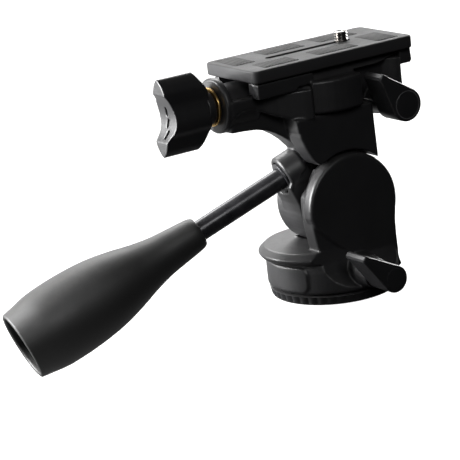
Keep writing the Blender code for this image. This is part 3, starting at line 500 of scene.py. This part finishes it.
STEEL = finish("bright_steel", (0.60, 0.60, 0.61), (0.74, 0.74, 0.75), (0.22, 0.34), 1800.0,
               metal=1.0, bump=0.006, dust=0.05)
BRASS = finish("turned_brass", (0.68, 0.44, 0.16), (0.85, 0.62, 0.30), (0.24, 0.36), 1600.0,
               metal=1.0, bump=0.006, dust=0.05)
# The relief on the release cap is a lighter grey: a painted highlight on its raised arrows and ring.
RELIEF_PAINTED_HIGHLIGHT = finish("relief_painted_highlight", (0.075, 0.075, 0.078), (0.16, 0.16, 0.16), (0.30, 0.42), 2200.0,
                bump=0.01, dust=0.0)
FIBRE = finish("friction_fibre", (0.20, 0.14, 0.09), (0.26, 0.19, 0.13), (0.70, 0.85), 1400.0,
               bump=0.05)
for dull in (PLATE, RUBBER):
    dull.node_tree.nodes["Principled BSDF"].inputs["Specular IOR Level"].default_value = 0.28
print("finishes:", len(bpy.data.materials))

# %% [markdown]
# Washers, screws and shoes are right as they were packed: plain turned parts, mostly out of sight.
# They keep their own meshes and get a finish alone.

# %% Solids that keep their shape
KEPT = {
    STEEL: ("pan_spindle", "pan_retaining_ring", "tilt_axle", "tilt_axle_washer", "side_tilt_shaft",
            "pan_lock_screw", "release_lever_screw", "side_tilt_knob_insert", "tilt_axle_nut"),
    BLACKENED: ("neck_set_screw",),
    BRASS: ("pan_lock_shoe", "tilt_lock_shoe", "tripod_thread_bush"),
    FIBRE: ("pan_friction_washer", "tilt_friction_washer"),
}
for made_of, names in KEPT.items():
    for name in names:
        keep(name, made_of)
print("solids that keep their shape:", sum(len(names) for names in KEPT.values()))

# %% [markdown]
# ## Pan body
# The near side is a wall with a tall round ear in front of it. Both outlines start with an arc about
# the tilt axle. Their lower parts flow through points measured from the photograph's edges.

# %% Outlines of the wall and the ear
EAR_X = 0.6
WALL_BACK = [(-13.6, 61.0), (-16.0, 57.6), (-17.4, 54.6), (-19.3, 52.2), (-21.0, 50.8), (-22.1, 48.4),
             (-22.2, 44.0), (-22.0, 38.5), (-21.5, 33.0), (-19.9, 25.0), (-17.3, 15.6), (-13.0, 6.0)]
WALL_FRONT = [(24.6, 8.0), (23.3, 12.0), (22.9, 18.0), (22.7, 26.0), (23.0, 34.0)]
EAR_FOOT = [(-21.6, 36.8), (-18.8, 33.0), (-14.6, 28.8), (-9.6, 24.4), (-4.0, 20.8), (4.4, 16.6)]
EAR_FRONT = [(11.2, 12.5), (22.6, 10.6), (22.8, 16.0), (22.6, 23.0), (22.7, 30.0)]
wall = arc(EAR_X, TILT_Z, 22.8, 4, 128, 30) + flowing(WALL_BACK, 4) + WALL_FRONT
ear = arc(EAR_X, TILT_Z, 23.7, -14, 184, 48) + flowing(EAR_FOOT, 4) + EAR_FRONT
print(f"wall outline of {len(wall)} points, ear outline of {len(ear)}")

# %% [markdown]
# The low part is a turned drum with a round deck that overhangs at the back. On the near side its
# face sweeps up, hollow like a heel, into the wall. The neck's hub turns in a round hollow, and a
# thin raised panel with rounded corners goes round the back.

# %% Drum and deck of the pan body
DRUM = [(19.7, 4.9), (29.3, 4.9), (30.1, 5.7), (30.1, 15.0), (29.7, 17.5), (28.6, 19.8), (26.0, 21.2),
        (0.0, 21.2), (0.0, 16.0), (19.7, 16.0)]
DECK = [(0.0, 24.4), (25.5, 24.4), (26.0, 24.2), (28.7, 21.9), (28.8, 21.3), (28.2, 20.2), (27.0, 19.0),
        (0.0, 19.0)]
DECK_X = -5.9
HEEL = [(-60.0, 6.4), (-29.9, 6.4), (-27.6, 8.0), (-25.2, 10.6), (-23.0, 14.4), (-21.3, 19.0),
        (-20.4, 24.0), (-20.4, 60.0), (-60.0, 60.0)]
HUB_ROOM = [(0.0, -13.0), (21.2, -13.0), (21.2, 10.3), (0.0, 10.3)]
heel = slab([(-z, y) for y, z in HEEL], -60.0, 60.0, 0.01, facing_front(), 0)
hub_room = turned(HUB_ROOM, facing_right(0.0, 0.0, TILT_Z))
low = carved(carved(turned(DRUM, upright()), heel), hub_room)
deck = carved(carved(turned(DECK, upright(DECK_X, 0.0, 0.0), 160), heel), hub_room)
print(f"drum of {len(low.polygons)} faces, deck of {len(deck.polygons)}")

# %% [markdown]
# Drum, deck, panel, lock boss, wall and ear go through the casting step together, which gives the
# fillets between them.

# %% Pan body
at = facing_right()
PANEL_ROOM = [(0.0, 0.0), (30.8, 0.0), (30.8, 30.0), (0.0, 30.0)]
panel = slab(rounded_rectangle(-17.6, -5.8, -16.5, 16.5, 3.5), -40.0, -20.0, 0.1, facing_front(), 1)
panel = carved(panel, turned(PANEL_ROOM, upright(), 160), "INTERSECT")
LOCK_Z = 12.5
LOCK_BOSS = [(0.0, 18.0), (7.8, 18.0), (7.6, 28.0), (6.6, 34.5), (0.0, 34.5)]
boss = turned(LOCK_BOSS, facing_right(0.0, 0.0, LOCK_Z))
body = casting(low, deck, panel, boss, slab(wall, 11.7, 20.2, 1.0, at), slab(ear, 14.0, 21.3, 1.7, at),
               voxel=0.44, rounds=5)
piece("pan_body_casting", body, PAINT, "pan_body", "pan_housing", angle=180)

# %% [markdown]
# ## Neck
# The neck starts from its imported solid, with room cut for the ear. Here it gains a flat cheek with an
# arched lower edge, a half round barrel below the bearing tube, the near face of the column, and the
# rear part of the drum that carries the platform.

# %% Neck
ARCH = [(-52.2, 92.0), (-48.6, 93.6), (-43.3, 94.3), (-40.2, 93.6), (-35.8, 91.3), (-30.8, 88.8),
        (-23.0, 85.8)]
cheek = slab(flowing(ARCH, 4) + [(-21.0, 99.2), (-52.2, 99.2)], 8.0, 12.7, 0.5, facing_right(), 2)
BARREL = [(0.0, -52.8), (12.3, -52.8), (12.3, -37.2), (0.0, -37.2)]
barrel = turned(BARREL, facing_front(0.0, 0.0, ROLL_Z))
barrel = carved(barrel, block((-60.0, -30.0, 70.0), (0.0, 3.0, 99.2)), "INTERSECT")
EAR_ROOM = [(0.0, 9.8), (25.3, 9.8), (25.3, 40.0), (0.0, 40.0)]
ear_room = turned(EAR_ROOM, facing_right(0.0, 0.0, TILT_Z), 128)
neck = carved(solid("tilt_neck"), ear_room)

COLUMN = [(0.0, 86.3), (-23.4, 86.3), (-23.6, 82.0), (-23.2, 78.0), (-21.5, 73.5), (-19.6, 69.5),
          (-17.6, 66.2)]
column = slab(COLUMN + arc(0.0, TILT_Z, 25.6, 124, 90, 12), 9.4, 20.0, 1.0, facing_right(), 2)
DRUM_REAR = [(-15.4, 0.0), (-41.0, 0.0), (-41.0, -12.5), (-36.0, -13.2), (-30.0, -15.0), (-24.0, -17.8),
             (-19.0, -20.0), (-15.4, -21.0)]
BELOW_TRAY = [(-45.0, 94.3), (-40.2, 93.5), (-35.8, 91.2), (-30.8, 88.8), (-23.0, 85.9), (-15.0, 85.2),
              (-10.0, 85.2), (-10.0, 98.6), (-45.0, 98.6)]
rear = slab(DRUM_REAR, 80.0, 98.6, 0.01, upright(), 0)
rear = carved(rear, slab(BELOW_TRAY, -5.0, 30.0, 0.01, facing_right(), 0), "INTERSECT")
neck = casting(neck, cheek, barrel, column, rear, voxel=0.44)
piece("neck_casting", neck, PAINT, "tilt_body", "tilt_neck", angle=180)

# %% [markdown]
# ## Platform
# The front half of the drum stops short on the near side, where the release lever's round boss
# comes out. The underside of the tray is trimmed at both sides and sweeps up to the jaw. A hollow
# sweep like a fender closes the front end, and a low skirt runs below the tray's near edge.

# %% Platform
NOSE = [(9.2, 102.3), (14.9, 102.3), (20.4, 102.3), (26.0, 102.8), (31.7, 104.0), (36.5, 104.6)]
under = NOSE + [(36.5, 80.0), (9.2, 80.0)]
tray = solid("platform")
for cutter in (block((9.2, -60.0, 80.0), (60.0, -13.0, 100.9)),
               block((35.2, -60.0, 80.0), (60.0, 60.0, 120.0)),
               slab(under, 13.6, 60.0, 0.01, facing_right(), 0),
               slab(under, -60.0, -9.5, 0.01, facing_right(), 0)):
    tray = carved(tray, cutter)
FENDER = [(14.0, 0.8), (12.0, -12.4), (20.0, -12.0), (25.0, -12.1), (28.0, -12.9), (31.0, -14.6),
          (33.4, -16.6), (35.1, -18.6), (35.1, 0.8)]
fender = slab(FENDER, 88.6, 102.8, 0.4, upright(), 2)
SKIRT = [(-42.3, 99.0), (-22.4, 99.0), (-21.2, 100.6), (-13.0, 101.2), (-13.0, 105.6), (-42.3, 105.6)]
skirt = slab(SKIRT, 14.6, 19.4, 0.3, facing_right(), 1)
boss = turned([(0.0, 23.8), (5.2, 23.8), (5.4, 23.4), (6.5, 8.0), (0.0, 8.0)], facing_right(23.2, 0.0, 85.6))
platform = casting(tray, boss, fender, skirt, voxel=0.35)
piece("platform_casting", platform, PAINT, "platform", "platform", angle=180)

# %% [markdown]
# ## Base ring
# The ring has upright ribs all round for a thumb to hold. Between its smooth lips the radius drops
# between ribs, which a turned profile can do with a wave on its radius.

# %% Base ring with its ribs
RIBS, RIB_DEPTH = 42, 0.75


def ribbed(turn, radius, height):
    """Rim pushed in between the ribs. The lips and the inside stay as they are."""
    if not 0.45 < height < 3.75 or radius < 27.0:
        return radius, height
    wave = (math.cos(turn * RIBS) + 1) / 2
    return radius - RIB_DEPTH * (1 - wave ** 0.6), height


ring = [(9.0, 8.0), (12.0, 8.0), (12.0, 4.2), (29.7, 4.2), (30.2, 3.9), (30.2, 3.7), (30.15, 3.6),
        (29.5, 0.55), (29.3, 0.45), (29.2, 0.25), (28.9, 0.0), (13.0, 0.0), (13.0, 0.6), (9.0, 0.6)]
piece("base_ring_ribbed", turned(ring, upright(), RIBS * 8, ribbed), PAINT, "base", "base_ring", angle=40)

# %% [markdown]
# ## Levers
# Both levers share one shape: a round hub with a single flat arm that narrows to a blunt tip.

# %% Lever outline
def lever_outline(hub, tip, half):
    """Outline of a lever, from the hub's radius, the middle of its tip and half the tip's width."""
    reach = math.hypot(*tip)
    turn = math.degrees(math.atan2(tip[1], tip[0]))
    along = Vector(tip) / reach
    side = Vector((-along.y, along.x))
    points = arc(0.0, 0.0, hub, turn + 65, turn + 295, 56)
    taper = ((1.6, -1.15), (0.5, -0.95), (0.0, -0.45), (0.0, 0.45), (0.5, 0.95), (1.6, 1.15))
    return points + [tuple(along * (reach - half * back) + side * half * out) for back, out in taper]


# %% [markdown]
# A slightly raised cap with a fine groove closes the hub of the release lever. Two curved arrows on
# it say that the lever turns, without any word.

# %% Cap and arrows
def cap_mesh(radius, seat, height, frame_at):
    """Round cap, sunk a little in the middle, with a groove near its rim."""
    profile = [(0.0, height - 0.25), (radius * 0.70, height - 0.25), (radius * 0.74, height - 0.02),
               (radius * 0.86, height), (radius * 0.90, height - 0.30), (radius * 0.93, height - 0.30),
               (radius * 0.96, height - 0.05), (radius, height - 0.30), (radius, seat), (0.0, seat)]
    return turned(rounded(profile, 0.12, 3), frame_at)


def curved_arrow(radius, start, end, width, low, high, frame_at):
    """Raised arc with an arrow head, for a cap that turns."""
    points = arc(0.0, 0.0, radius + width / 2, start, end, 18)
    tip = end + math.degrees(2.1 * width / radius) * (1 if end > start else -1)
    for out, turn in ((radius + width * 1.5, end), (radius, tip), (radius - width * 1.5, end)):
        points.append((out * math.cos(math.radians(turn)), out * math.sin(math.radians(turn))))
    points += arc(0.0, 0.0, radius - width / 2, end, start, 18)
    return slab(points, low, high, 0.06, frame_at, 1)


# %% [markdown]
# The release lever is the shape's first use. Its arrows and the thin ring round them are a lighter
# grey, a painted highlight on the raised relief with rubbed edges on top, so that they read on
# black plastic.

# %% Plate release lever
at = facing_right(22.9, 0.0, 85.6)
arm = slab(lever_outline(7.6, (-12.4, 15.2), 1.9), 24.2, 37.8, 0.8, at)
piece("plate_release_arm", arm, MOULDED, "release_lever", "release_lever")
cap = cap_mesh(7.0, 36.6, 37.8, at)
arrows = [curved_arrow(3.4, turn, turn - 118, 0.75, 37.4, 37.75, at) for turn in (155, 335)]
piece("plate_release_cap", cap, MOULDED, "release_lever", "release_lever_cap")
BORDER = [(5.9, 37.70), (6.05, 37.86), (6.35, 37.86), (6.5, 37.70), (5.9, 37.70)]
border = turned(rounded(BORDER, 0.05, 1), at)
# The arrows and ring wear the lighter grey of the painted highlight.
piece("plate_release_arrows", merged(border, *arrows), RELIEF_PAINTED_HIGHLIGHT, "release_lever")

# %% [markdown]
# The pan lock lever is the same shape, smaller and deeper, and its cap is a plain disc with a round
# edge.

# %% Pan lock lever
at = facing_right(0.0, 0.0, LOCK_Z)
arm = slab(lever_outline(6.2, (-15.9, 13.4), 1.7), 34.9, 49.0, 0.8, at)
piece("pan_lock_arm", arm, MOULDED, "pan_lock", "pan_lock_lever")
cap = turned(rounded([(0.0, 49.2), (4.9, 49.15), (5.6, 48.9), (5.6, 48.3), (0.0, 48.3)], 0.4, 5), at)
piece("pan_lock_end_cap", cap, MOULDED, "pan_lock", "pan_lock_lever_cap")

# %% [markdown]
# ## Wing knob
# Seen from behind the wing is a soft S, and from the side it is dished where fingers go. The knob is
# what both outlines share. Its end face has three slots where the moulder saved plastic.

# %% Wing knob of the side tilt
WING = [(-0.7, 17.5), (-3.9, 15.1), (-5.8, 12.0), (-6.1, 9.0), (-6.0, 6.0), (-6.4, 3.0), (-7.0, 0.0),
        (-7.3, -3.0), (-6.7, -6.0), (-4.4, -9.0), (-3.5, -12.0), (-2.1, -15.0)]
SIDE = [(-59.2, 8.5), (-59.2, -8.5), (-64.2, -18.0), (-90.0, -18.0), (-90.0, -10.5), (-81.6, -10.5)]
dish = [(x, z) for x, z in arc(-77.5 - 15.8, 0.0, 15.8, -41.0, 41.0, 20)]
wing = [(-z, y) for y, z in flowing(WING + [(-y, -z) for y, z in WING], 5, True)]
wing = slab(wing, -81.5, -59.2, 0.01, facing_front(), 0)
TOP_SIDE = [(-81.6, 10.5), (-90.0, 10.5), (-90.0, 18.0), (-64.2, 18.0)]
side = slab(SIDE + dish + TOP_SIDE, -20.0, 20.0, 0.01, facing_right(), 0)
at = facing_front(0.0, 0.0, ROLL_Z)
knob = carved(wing, side, "INTERSECT")
for y, z, lean in ((0.3, 2.6, 8.0), (0.0, -2.6, 16.0), (-0.7, -7.4, 22.0)):
    slot = slab(rounded_rectangle(-2.1, 2.1, -0.6, 0.6, 0.55, 4), -80.5, -76.2, 0.05, facing_front(), 1)
    slot.transform(upright(0.0, y, z) @ Matrix.Rotation(math.radians(lean), 4, "X"))
    knob = carved(knob, slot)
knob = casting(knob, voxel=0.3, rounds=5)
knob.transform(upright(0.0, 0.0, ROLL_Z))
collar = turned(rounded([(6.0, -56.9), (7.8, -56.9), (7.8, -60.5), (6.0, -60.5), (6.0, -56.9)], 0.4, 3), at)
piece("side_tilt_wing", merged(knob, collar), MOULDED, "side_knob", "side_tilt_knob", angle=60)

# %% [markdown]
# The thin brass ring in front of the knob is the only colour that shows on the head.

# %% Brass washer
WASHER = [(4.6, -55.3), (8.5, -55.3), (8.7, -55.5), (8.7, -56.2), (8.5, -56.4), (4.6, -56.4)]
washer = turned(rounded(WASHER, 0.15, 2), at)
piece("brass_friction_washer", washer, BRASS, "tilt_body", "side_tilt_brass_washer")

# %% [markdown]
# ## Handle
# The rod is a plain blackened bar that enters the neck through a sleeve. Its line is not along any
# axis of the head, so a frame is laid along it and both are turned in that.

# %% Handle axis
HANDLE_ROOT = metres((-22.6, 0.0, 57.0))
HANDLE_LINE = (metres((-146.5, 22.0, 8.2)) - HANDLE_ROOT).normalized()
handle_at = Matrix.Translation(HANDLE_ROOT) @ HANDLE_LINE.to_track_quat("Z", "Y").to_matrix().to_4x4()

rod = [(0.0, 78.3), (4.8, 78.3), (4.8, -11.0), (3.0, -12.2), (3.0, -15.0), (0.0, -15.0)]
piece("handle_bar", turned(rod, handle_at, 96), BLACKENED, "handle", "handle_rod")
bush = rounded([(5.1, 0.8), (6.8, 0.8), (7.0, 0.6), (7.0, -12.2), (5.1, -12.2)], 0.2, 3)
piece("handle_sleeve", turned(bush, handle_at), BLACKENED, "tilt_body", "handle_bush")

# %% [markdown]
# The grip is a hollow moulding that swells towards its open end, so its profile goes out along the
# inside, round the lip and back outside. The swell is given as shares of the widest radius.

# %% Grip
GRIP_START, GRIP_WIDE, GRIP_WALL, HOLLOW_FROM = 46.0, 18.5, 2.2, 46.0
SWELL = [(0.0, 0.37), (2.8, 0.42), (11.2, 0.47), (20.6, 0.53), (29.9, 0.64), (38.3, 0.77), (46.8, 0.88),
         (54.2, 0.945), (62.6, 0.985), (71.1, 1.0), (80.4, 0.985), (88.8, 0.91), (93.5, 0.865)]
swell = flowing([(s, r * GRIP_WIDE) for s, r in SWELL], 6)
outside = [(r, GRIP_START + s) for s, r in reversed(swell)]
inside = [(r - GRIP_WALL, GRIP_START + s) for s, r in swell if s > HOLLOW_FROM]
lip = outside[0]
rim = [(lip[0] - 1.9, lip[1] + 0.1), (lip[0] - 1.1, lip[1] + 0.5), (lip[0] - 0.4, lip[1] + 0.3)]
throat = [(5.9, GRIP_START), (5.1, GRIP_START + 0.6), (5.1, 79.0), (0.0, 79.0)]
floor_at = inside[0][1] - 1.0
bottom = [(0.0, floor_at), (inside[0][0] * 0.9, floor_at)]
profile = [*bottom, *inside[:-1], *rim, *outside[:-1], (6.75, GRIP_START + 0.05), *throat]
piece("handle_grip_moulding", turned(profile, handle_at, 128), GRIP, "handle", "handle_grip", angle=50)

# %% [markdown]
# ## Quick release plate
# The plate is a slab with rounded corners. Six shallow wells in its top hold the pads, and a long slot
# lets the camera screw move to fit the camera. A foot below the slab drops into the tray.

# %% Plate
TOP, BELOW, WELL = 112.0, 106.3, 0.8
sheet = slab(rounded_rectangle(-44.2, 41.6, -21.0, 20.6, 3.2), BELOW, TOP, 0.9, upright(), 4)
foot = slab(rounded_rectangle(-11.5, 29.5, -9.0, 9.0, 1.5), 103.9, BELOW + 0.5, 0.4, upright(), 2)
slot = slab(rounded_rectangle(-24.5, 21.0, -1.9, 1.9, 1.85), 100.0, 120.0, 0.01, upright(), 0)
sheet, foot = carved(sheet, slot), carved(foot, slot)
PADS = {
    "back": (-41.0, -30.6, -1.0, 17.0), "right_back": (-36.0, -18.0, -17.0, -6.5),
    "left_back": (-20.0, 1.0, 6.5, 17.0), "right_front": (-7.5, 14.0, -17.0, -6.5),
    "left_front": (9.5, 30.0, 6.5, 17.0), "front": (24.5, 36.0, -17.0, 1.0),
}
for x0, x1, y0, y1 in PADS.values():
    well = rounded_rectangle(x0 - 0.2, x1 + 0.2, y0 - 0.35, y1 + 0.2, 1.0)
    sheet = carved(sheet, slab(well, TOP - WELL, TOP + 2.0, 0.01, upright(), 0))
piece("plate_dressed", merged(sheet, foot), PLATE, "plate", "release_plate", angle=38)

# %% [markdown]
# The front jaw hooks over the plate's end, and its tongue slides in the platform.

# %% Jaw
hook = [(35.6, 99.2), (41.0, 99.2), (42.0, 100.2), (41.6, 105.9), (35.6, 105.9)]
hook = slab(hook, -17.5, 17.5, 0.35, facing_right(), 3)
tongue = slab([(30.8, 102.4), (37.0, 102.4), (37.0, 104.3), (30.8, 104.3)], -6.8, 6.8, 0.2, facing_right(), 1)
piece("jaw_hook", merged(hook, tongue), PAINT, "front_jaw", "front_jaw", angle=40)

# %% [markdown]
# The camera screw has a real thread of 20 turns to the inch. Each ring of the lathe is pushed in and
# out by how far it lies along the helix, which cuts the groove without any modelling by hand.

# %% Camera screw
THREAD, THREAD_DEPTH, SCREW_X = 1.27, 0.62, 16.5


def threaded(turn, radius, height):
    """Stem pushed in along a helix. The head and the tip stay round."""
    if not 112.6 < height < 116.2 or radius < 2.0:
        return radius, height
    along = (height / THREAD - turn / (2 * math.pi)) % 1.0
    groove = 1.0 - abs(along * 2 - 1) ** 1.2
    return radius - THREAD_DEPTH * groove, height


head = [(0.0, 103.6), (6.6, 103.6), (6.8, 103.8), (6.8, 105.0), (3.15, 105.2)]
stem = [(3.15, 112.2 + 0.11 * k) for k in range(38)]
tip = [(2.6, 116.6), (1.2, 116.65), (1.0, 116.1), (0.0, 116.1)]
screw = turned(head + stem + tip, upright(SCREW_X, 0.0, 0.0), 72, threaded)
piece("camera_screw_threaded", screw, SCREW, "camera_screw", "camera_screw", angle=50)

# %% [markdown]
# Each pad is a grid of ribs across the plate. A wave on the height of a fine grid gives them round
# tops, and the edge of the grid drops down into the well.

# %% Ribbed pads
PER_RIB = 8


def ribbed_pad(x0, x1, y0, y1, base, top, pitch=1.7, depth=0.7):
    """Block whose top rises and falls along X. Each rib is PER_RIB steps of the grid."""
    across = max(2, round((x1 - x0) / pitch)) * PER_RIB
    work = bmesh.new()
    rows = []
    for i in range(across + 1):
        x = x0 + (x1 - x0) * i / across
        wave = 0.5 - 0.5 * math.cos(2 * math.pi * i / PER_RIB)
        inset = 0.0 if 0 < i < across else 0.15
        rows.append([work.verts.new(metres((x, y, z))) for y, z in
                     ((y0 + inset, base), (y0 + inset, top - depth), (y0 + 0.25, top - depth * (1 - wave)),
                      (y1 - 0.25, top - depth * (1 - wave)), (y1 - inset, top - depth), (y1 - inset, base))])
    for a, b in zip(rows, rows[1:]):
        for k in range(6):
            work.faces.new((a[k], a[(k + 1) % 6], b[(k + 1) % 6], b[k]))
    work.faces.new(rows[0])
    work.faces.new(list(reversed(rows[-1])))
    bmesh.ops.recalc_face_normals(work, faces=work.faces)
    mesh = bpy.data.meshes.new("pad")
    work.to_mesh(mesh)
    work.free()
    return mesh


PAD_DOWN, PAD_UP = 1.0, 0.3
for name, corners in PADS.items():
    mesh = ribbed_pad(*corners, TOP - PAD_DOWN, TOP + PAD_UP)
    piece("ribbed_pad_" + name, mesh, RUBBER, "plate", "plate_pad_" + name, angle=60)

# %% [markdown]
# ## Floor, light and camera
# The photograph's backdrop is white, and the side of the head that faces the camera is black. So the
# camera sees white, while every other ray finds light only towards the far left and darkness on the
# near side. One small tree of nodes gives that level, for the floor and for the world.

# %% Level of light towards the backdrop
BACKDROP_WAY = (-0.35, 0.94, 0.0)


def backdrop_level(tree, place, dark_at, light_at, least=0.0):
    """How far a place or a direction lies towards the backdrop, from least up to 1."""
    along = node(tree, "VectorMath", operation="DOT_PRODUCT")
    along.inputs[1].default_value = BACKDROP_WAY
    tree.links.new(place, along.inputs[0])
    level = node(tree, "MapRange", interpolation_type="SMOOTHSTEP")
    level.inputs["From Min"].default_value = dark_at
    level.inputs["From Max"].default_value = light_at
    level.inputs["To Min"].default_value = least
    tree.links.new(along.outputs["Value"], level.inputs["Value"])
    return level.outputs["Result"]


def for_the_camera(tree, seen, unseen):
    """Shader that is one thing to the camera and another to every other ray."""
    mix = node(tree, "MixShader")
    tree.links.new(node(tree, "LightPath").outputs["Is Camera Ray"], mix.inputs["Fac"])
    tree.links.new(unseen, mix.inputs[1])
    tree.links.new(seen, mix.inputs[2])
    return mix.outputs["Shader"]


print("the backdrop lies towards", BACKDROP_WAY)

# %% [markdown]
# The floor is one wide sheet, a little below the base ring. The camera sees its colour with a glow
# added, which comes out white, and the other rays see the level above.

# %% Floor
FLOOR_Z, FLOOR_REACH, FLOOR_GLOW = -0.0105, 4.0, 0.90
corners = [(x * FLOOR_REACH, y * FLOOR_REACH, 0.0) for x, y in ((-1, -1), (1, -1), (1, 1), (-1, 1))]
sheet = bpy.data.meshes.new("floor")
sheet.from_pydata(corners, [], [(0, 1, 2, 3)])
floor = bpy.data.objects.new("floor", sheet)
floor.location.z = FLOOR_Z
bpy.context.scene.collection.objects.link(floor)
pale = bpy.data.materials.new("pale_floor")
pale.use_nodes = True
tree = pale.node_tree
shader = tree.nodes["Principled BSDF"]
shader.inputs["Base Color"].default_value = (0.25, 0.25, 0.25, 1.0)
shader.inputs["Roughness"].default_value = 0.9
glow = node(tree, "Emission")
glow.inputs["Strength"].default_value = FLOOR_GLOW
both = node(tree, "AddShader")
tree.links.new(shader.outputs["BSDF"], both.inputs[0])
tree.links.new(glow.outputs["Emission"], both.inputs[1])
lit = node(tree, "Emission")
level = backdrop_level(tree, node(tree, "NewGeometry").outputs["Position"], -0.05, 0.25)
tree.links.new(level, lit.inputs["Strength"])
shown = for_the_camera(tree, both.outputs["Shader"], lit.outputs["Emission"])
tree.links.new(shown, tree.nodes["Material Output"].inputs["Surface"])
sheet.materials.append(pale)
print("floor", FLOOR_REACH * 2, "m wide, at", FLOOR_Z, "m")

# %% [markdown]
# The world is white to the camera as well. For the other rays it brightens by direction, and never
# goes fully dark.

# %% World
WHITE = (1.0, 1.0, 1.0, 1.0)
world = bpy.data.worlds.new("studio")
world.use_nodes = True
bpy.context.scene.world = world
tree = world.node_tree
sky = tree.nodes["Background"]
sky.inputs["Color"].default_value = WHITE
level = backdrop_level(tree, node(tree, "TexCoord").outputs["Generated"], 0.05, 0.75, 0.02)
tree.links.new(level, sky.inputs["Strength"])
white = node(tree, "Background")
white.inputs["Color"].default_value = WHITE
shown = for_the_camera(tree, white.outputs["Background"], sky.outputs["Background"])
tree.links.new(shown, tree.nodes["World Output"].inputs["Surface"])
print("world:", world.name)

# %% [markdown]
# The lamps are large and soft. Four stand behind the head, at its left, its right and above, and draw
# the bright rims. A weak one in front keeps the black side readable.

# %% Lamps
def lamp(name, position, aim, size, power):
    """Rectangular lamp that looks at aim. Places in metres, power in watts."""
    light = bpy.data.lights.new(name, "AREA")
    light.shape = "RECTANGLE"
    light.size, light.size_y = size
    light.energy = power
    made = bpy.data.objects.new(name, light)
    made.location = position
    made.rotation_euler = (Vector(aim) - Vector(position)).to_track_quat("-Z", "Y").to_euler()
    bpy.context.scene.collection.objects.link(made)
    print(f"lamp {name}: {power} W")


HEAD = (-0.02, 0.0, 0.07)
lamp("left_panel", (-0.42, 0.22, 0.17), HEAD, (0.20, 0.30), 8.0)
lamp("left_high", (-0.9, 0.6, 0.7), HEAD, (0.6, 0.6), 9.0)
lamp("behind", (0.30, 0.80, 0.75), (0.0, 0.0, 0.07), (0.8, 0.4), 8.0)
lamp("right_panel", (0.75, 0.42, 0.25), HEAD, (0.4, 0.5), 9.0)
lamp("front_fill", (-0.5, -1.2, 0.9), (0.0, 0.0, 0.06), (0.6, 0.5), 7.0)

# %% [markdown]
# The camera stands behind the right shoulder and a little above, tilted a few degrees about its own
# line of sight, and its long lens keeps the far edges nearly parallel.

# %% Camera
LOOK, RISE, ROLL = math.radians(-30.6), math.radians(15.4), math.radians(-6.65)
back = Vector((math.sin(LOOK) * math.cos(RISE), -math.cos(LOOK) * math.cos(RISE), math.sin(RISE)))
right = Vector((math.cos(LOOK), math.sin(LOOK), 0.0))
up = back.cross(right)
turned_right = right * math.cos(ROLL) + up * math.sin(ROLL)
turned_up = up * math.cos(ROLL) - right * math.sin(ROLL)
lens = bpy.data.cameras.new("camera")
lens.lens = 172.1
lens.sensor_width = 36.0
camera = bpy.data.objects.new("camera", lens)
camera.matrix_world = Matrix((turned_right, turned_up, back)).transposed().to_4x4()
camera.location = metres((-533.6, -812.7, 299.7))
bpy.context.scene.collection.objects.link(camera)
bpy.context.scene.camera = camera
bpy.context.scene.view_settings.view_transform = "Standard"
print("camera at", [round(v, 4) for v in camera.location])
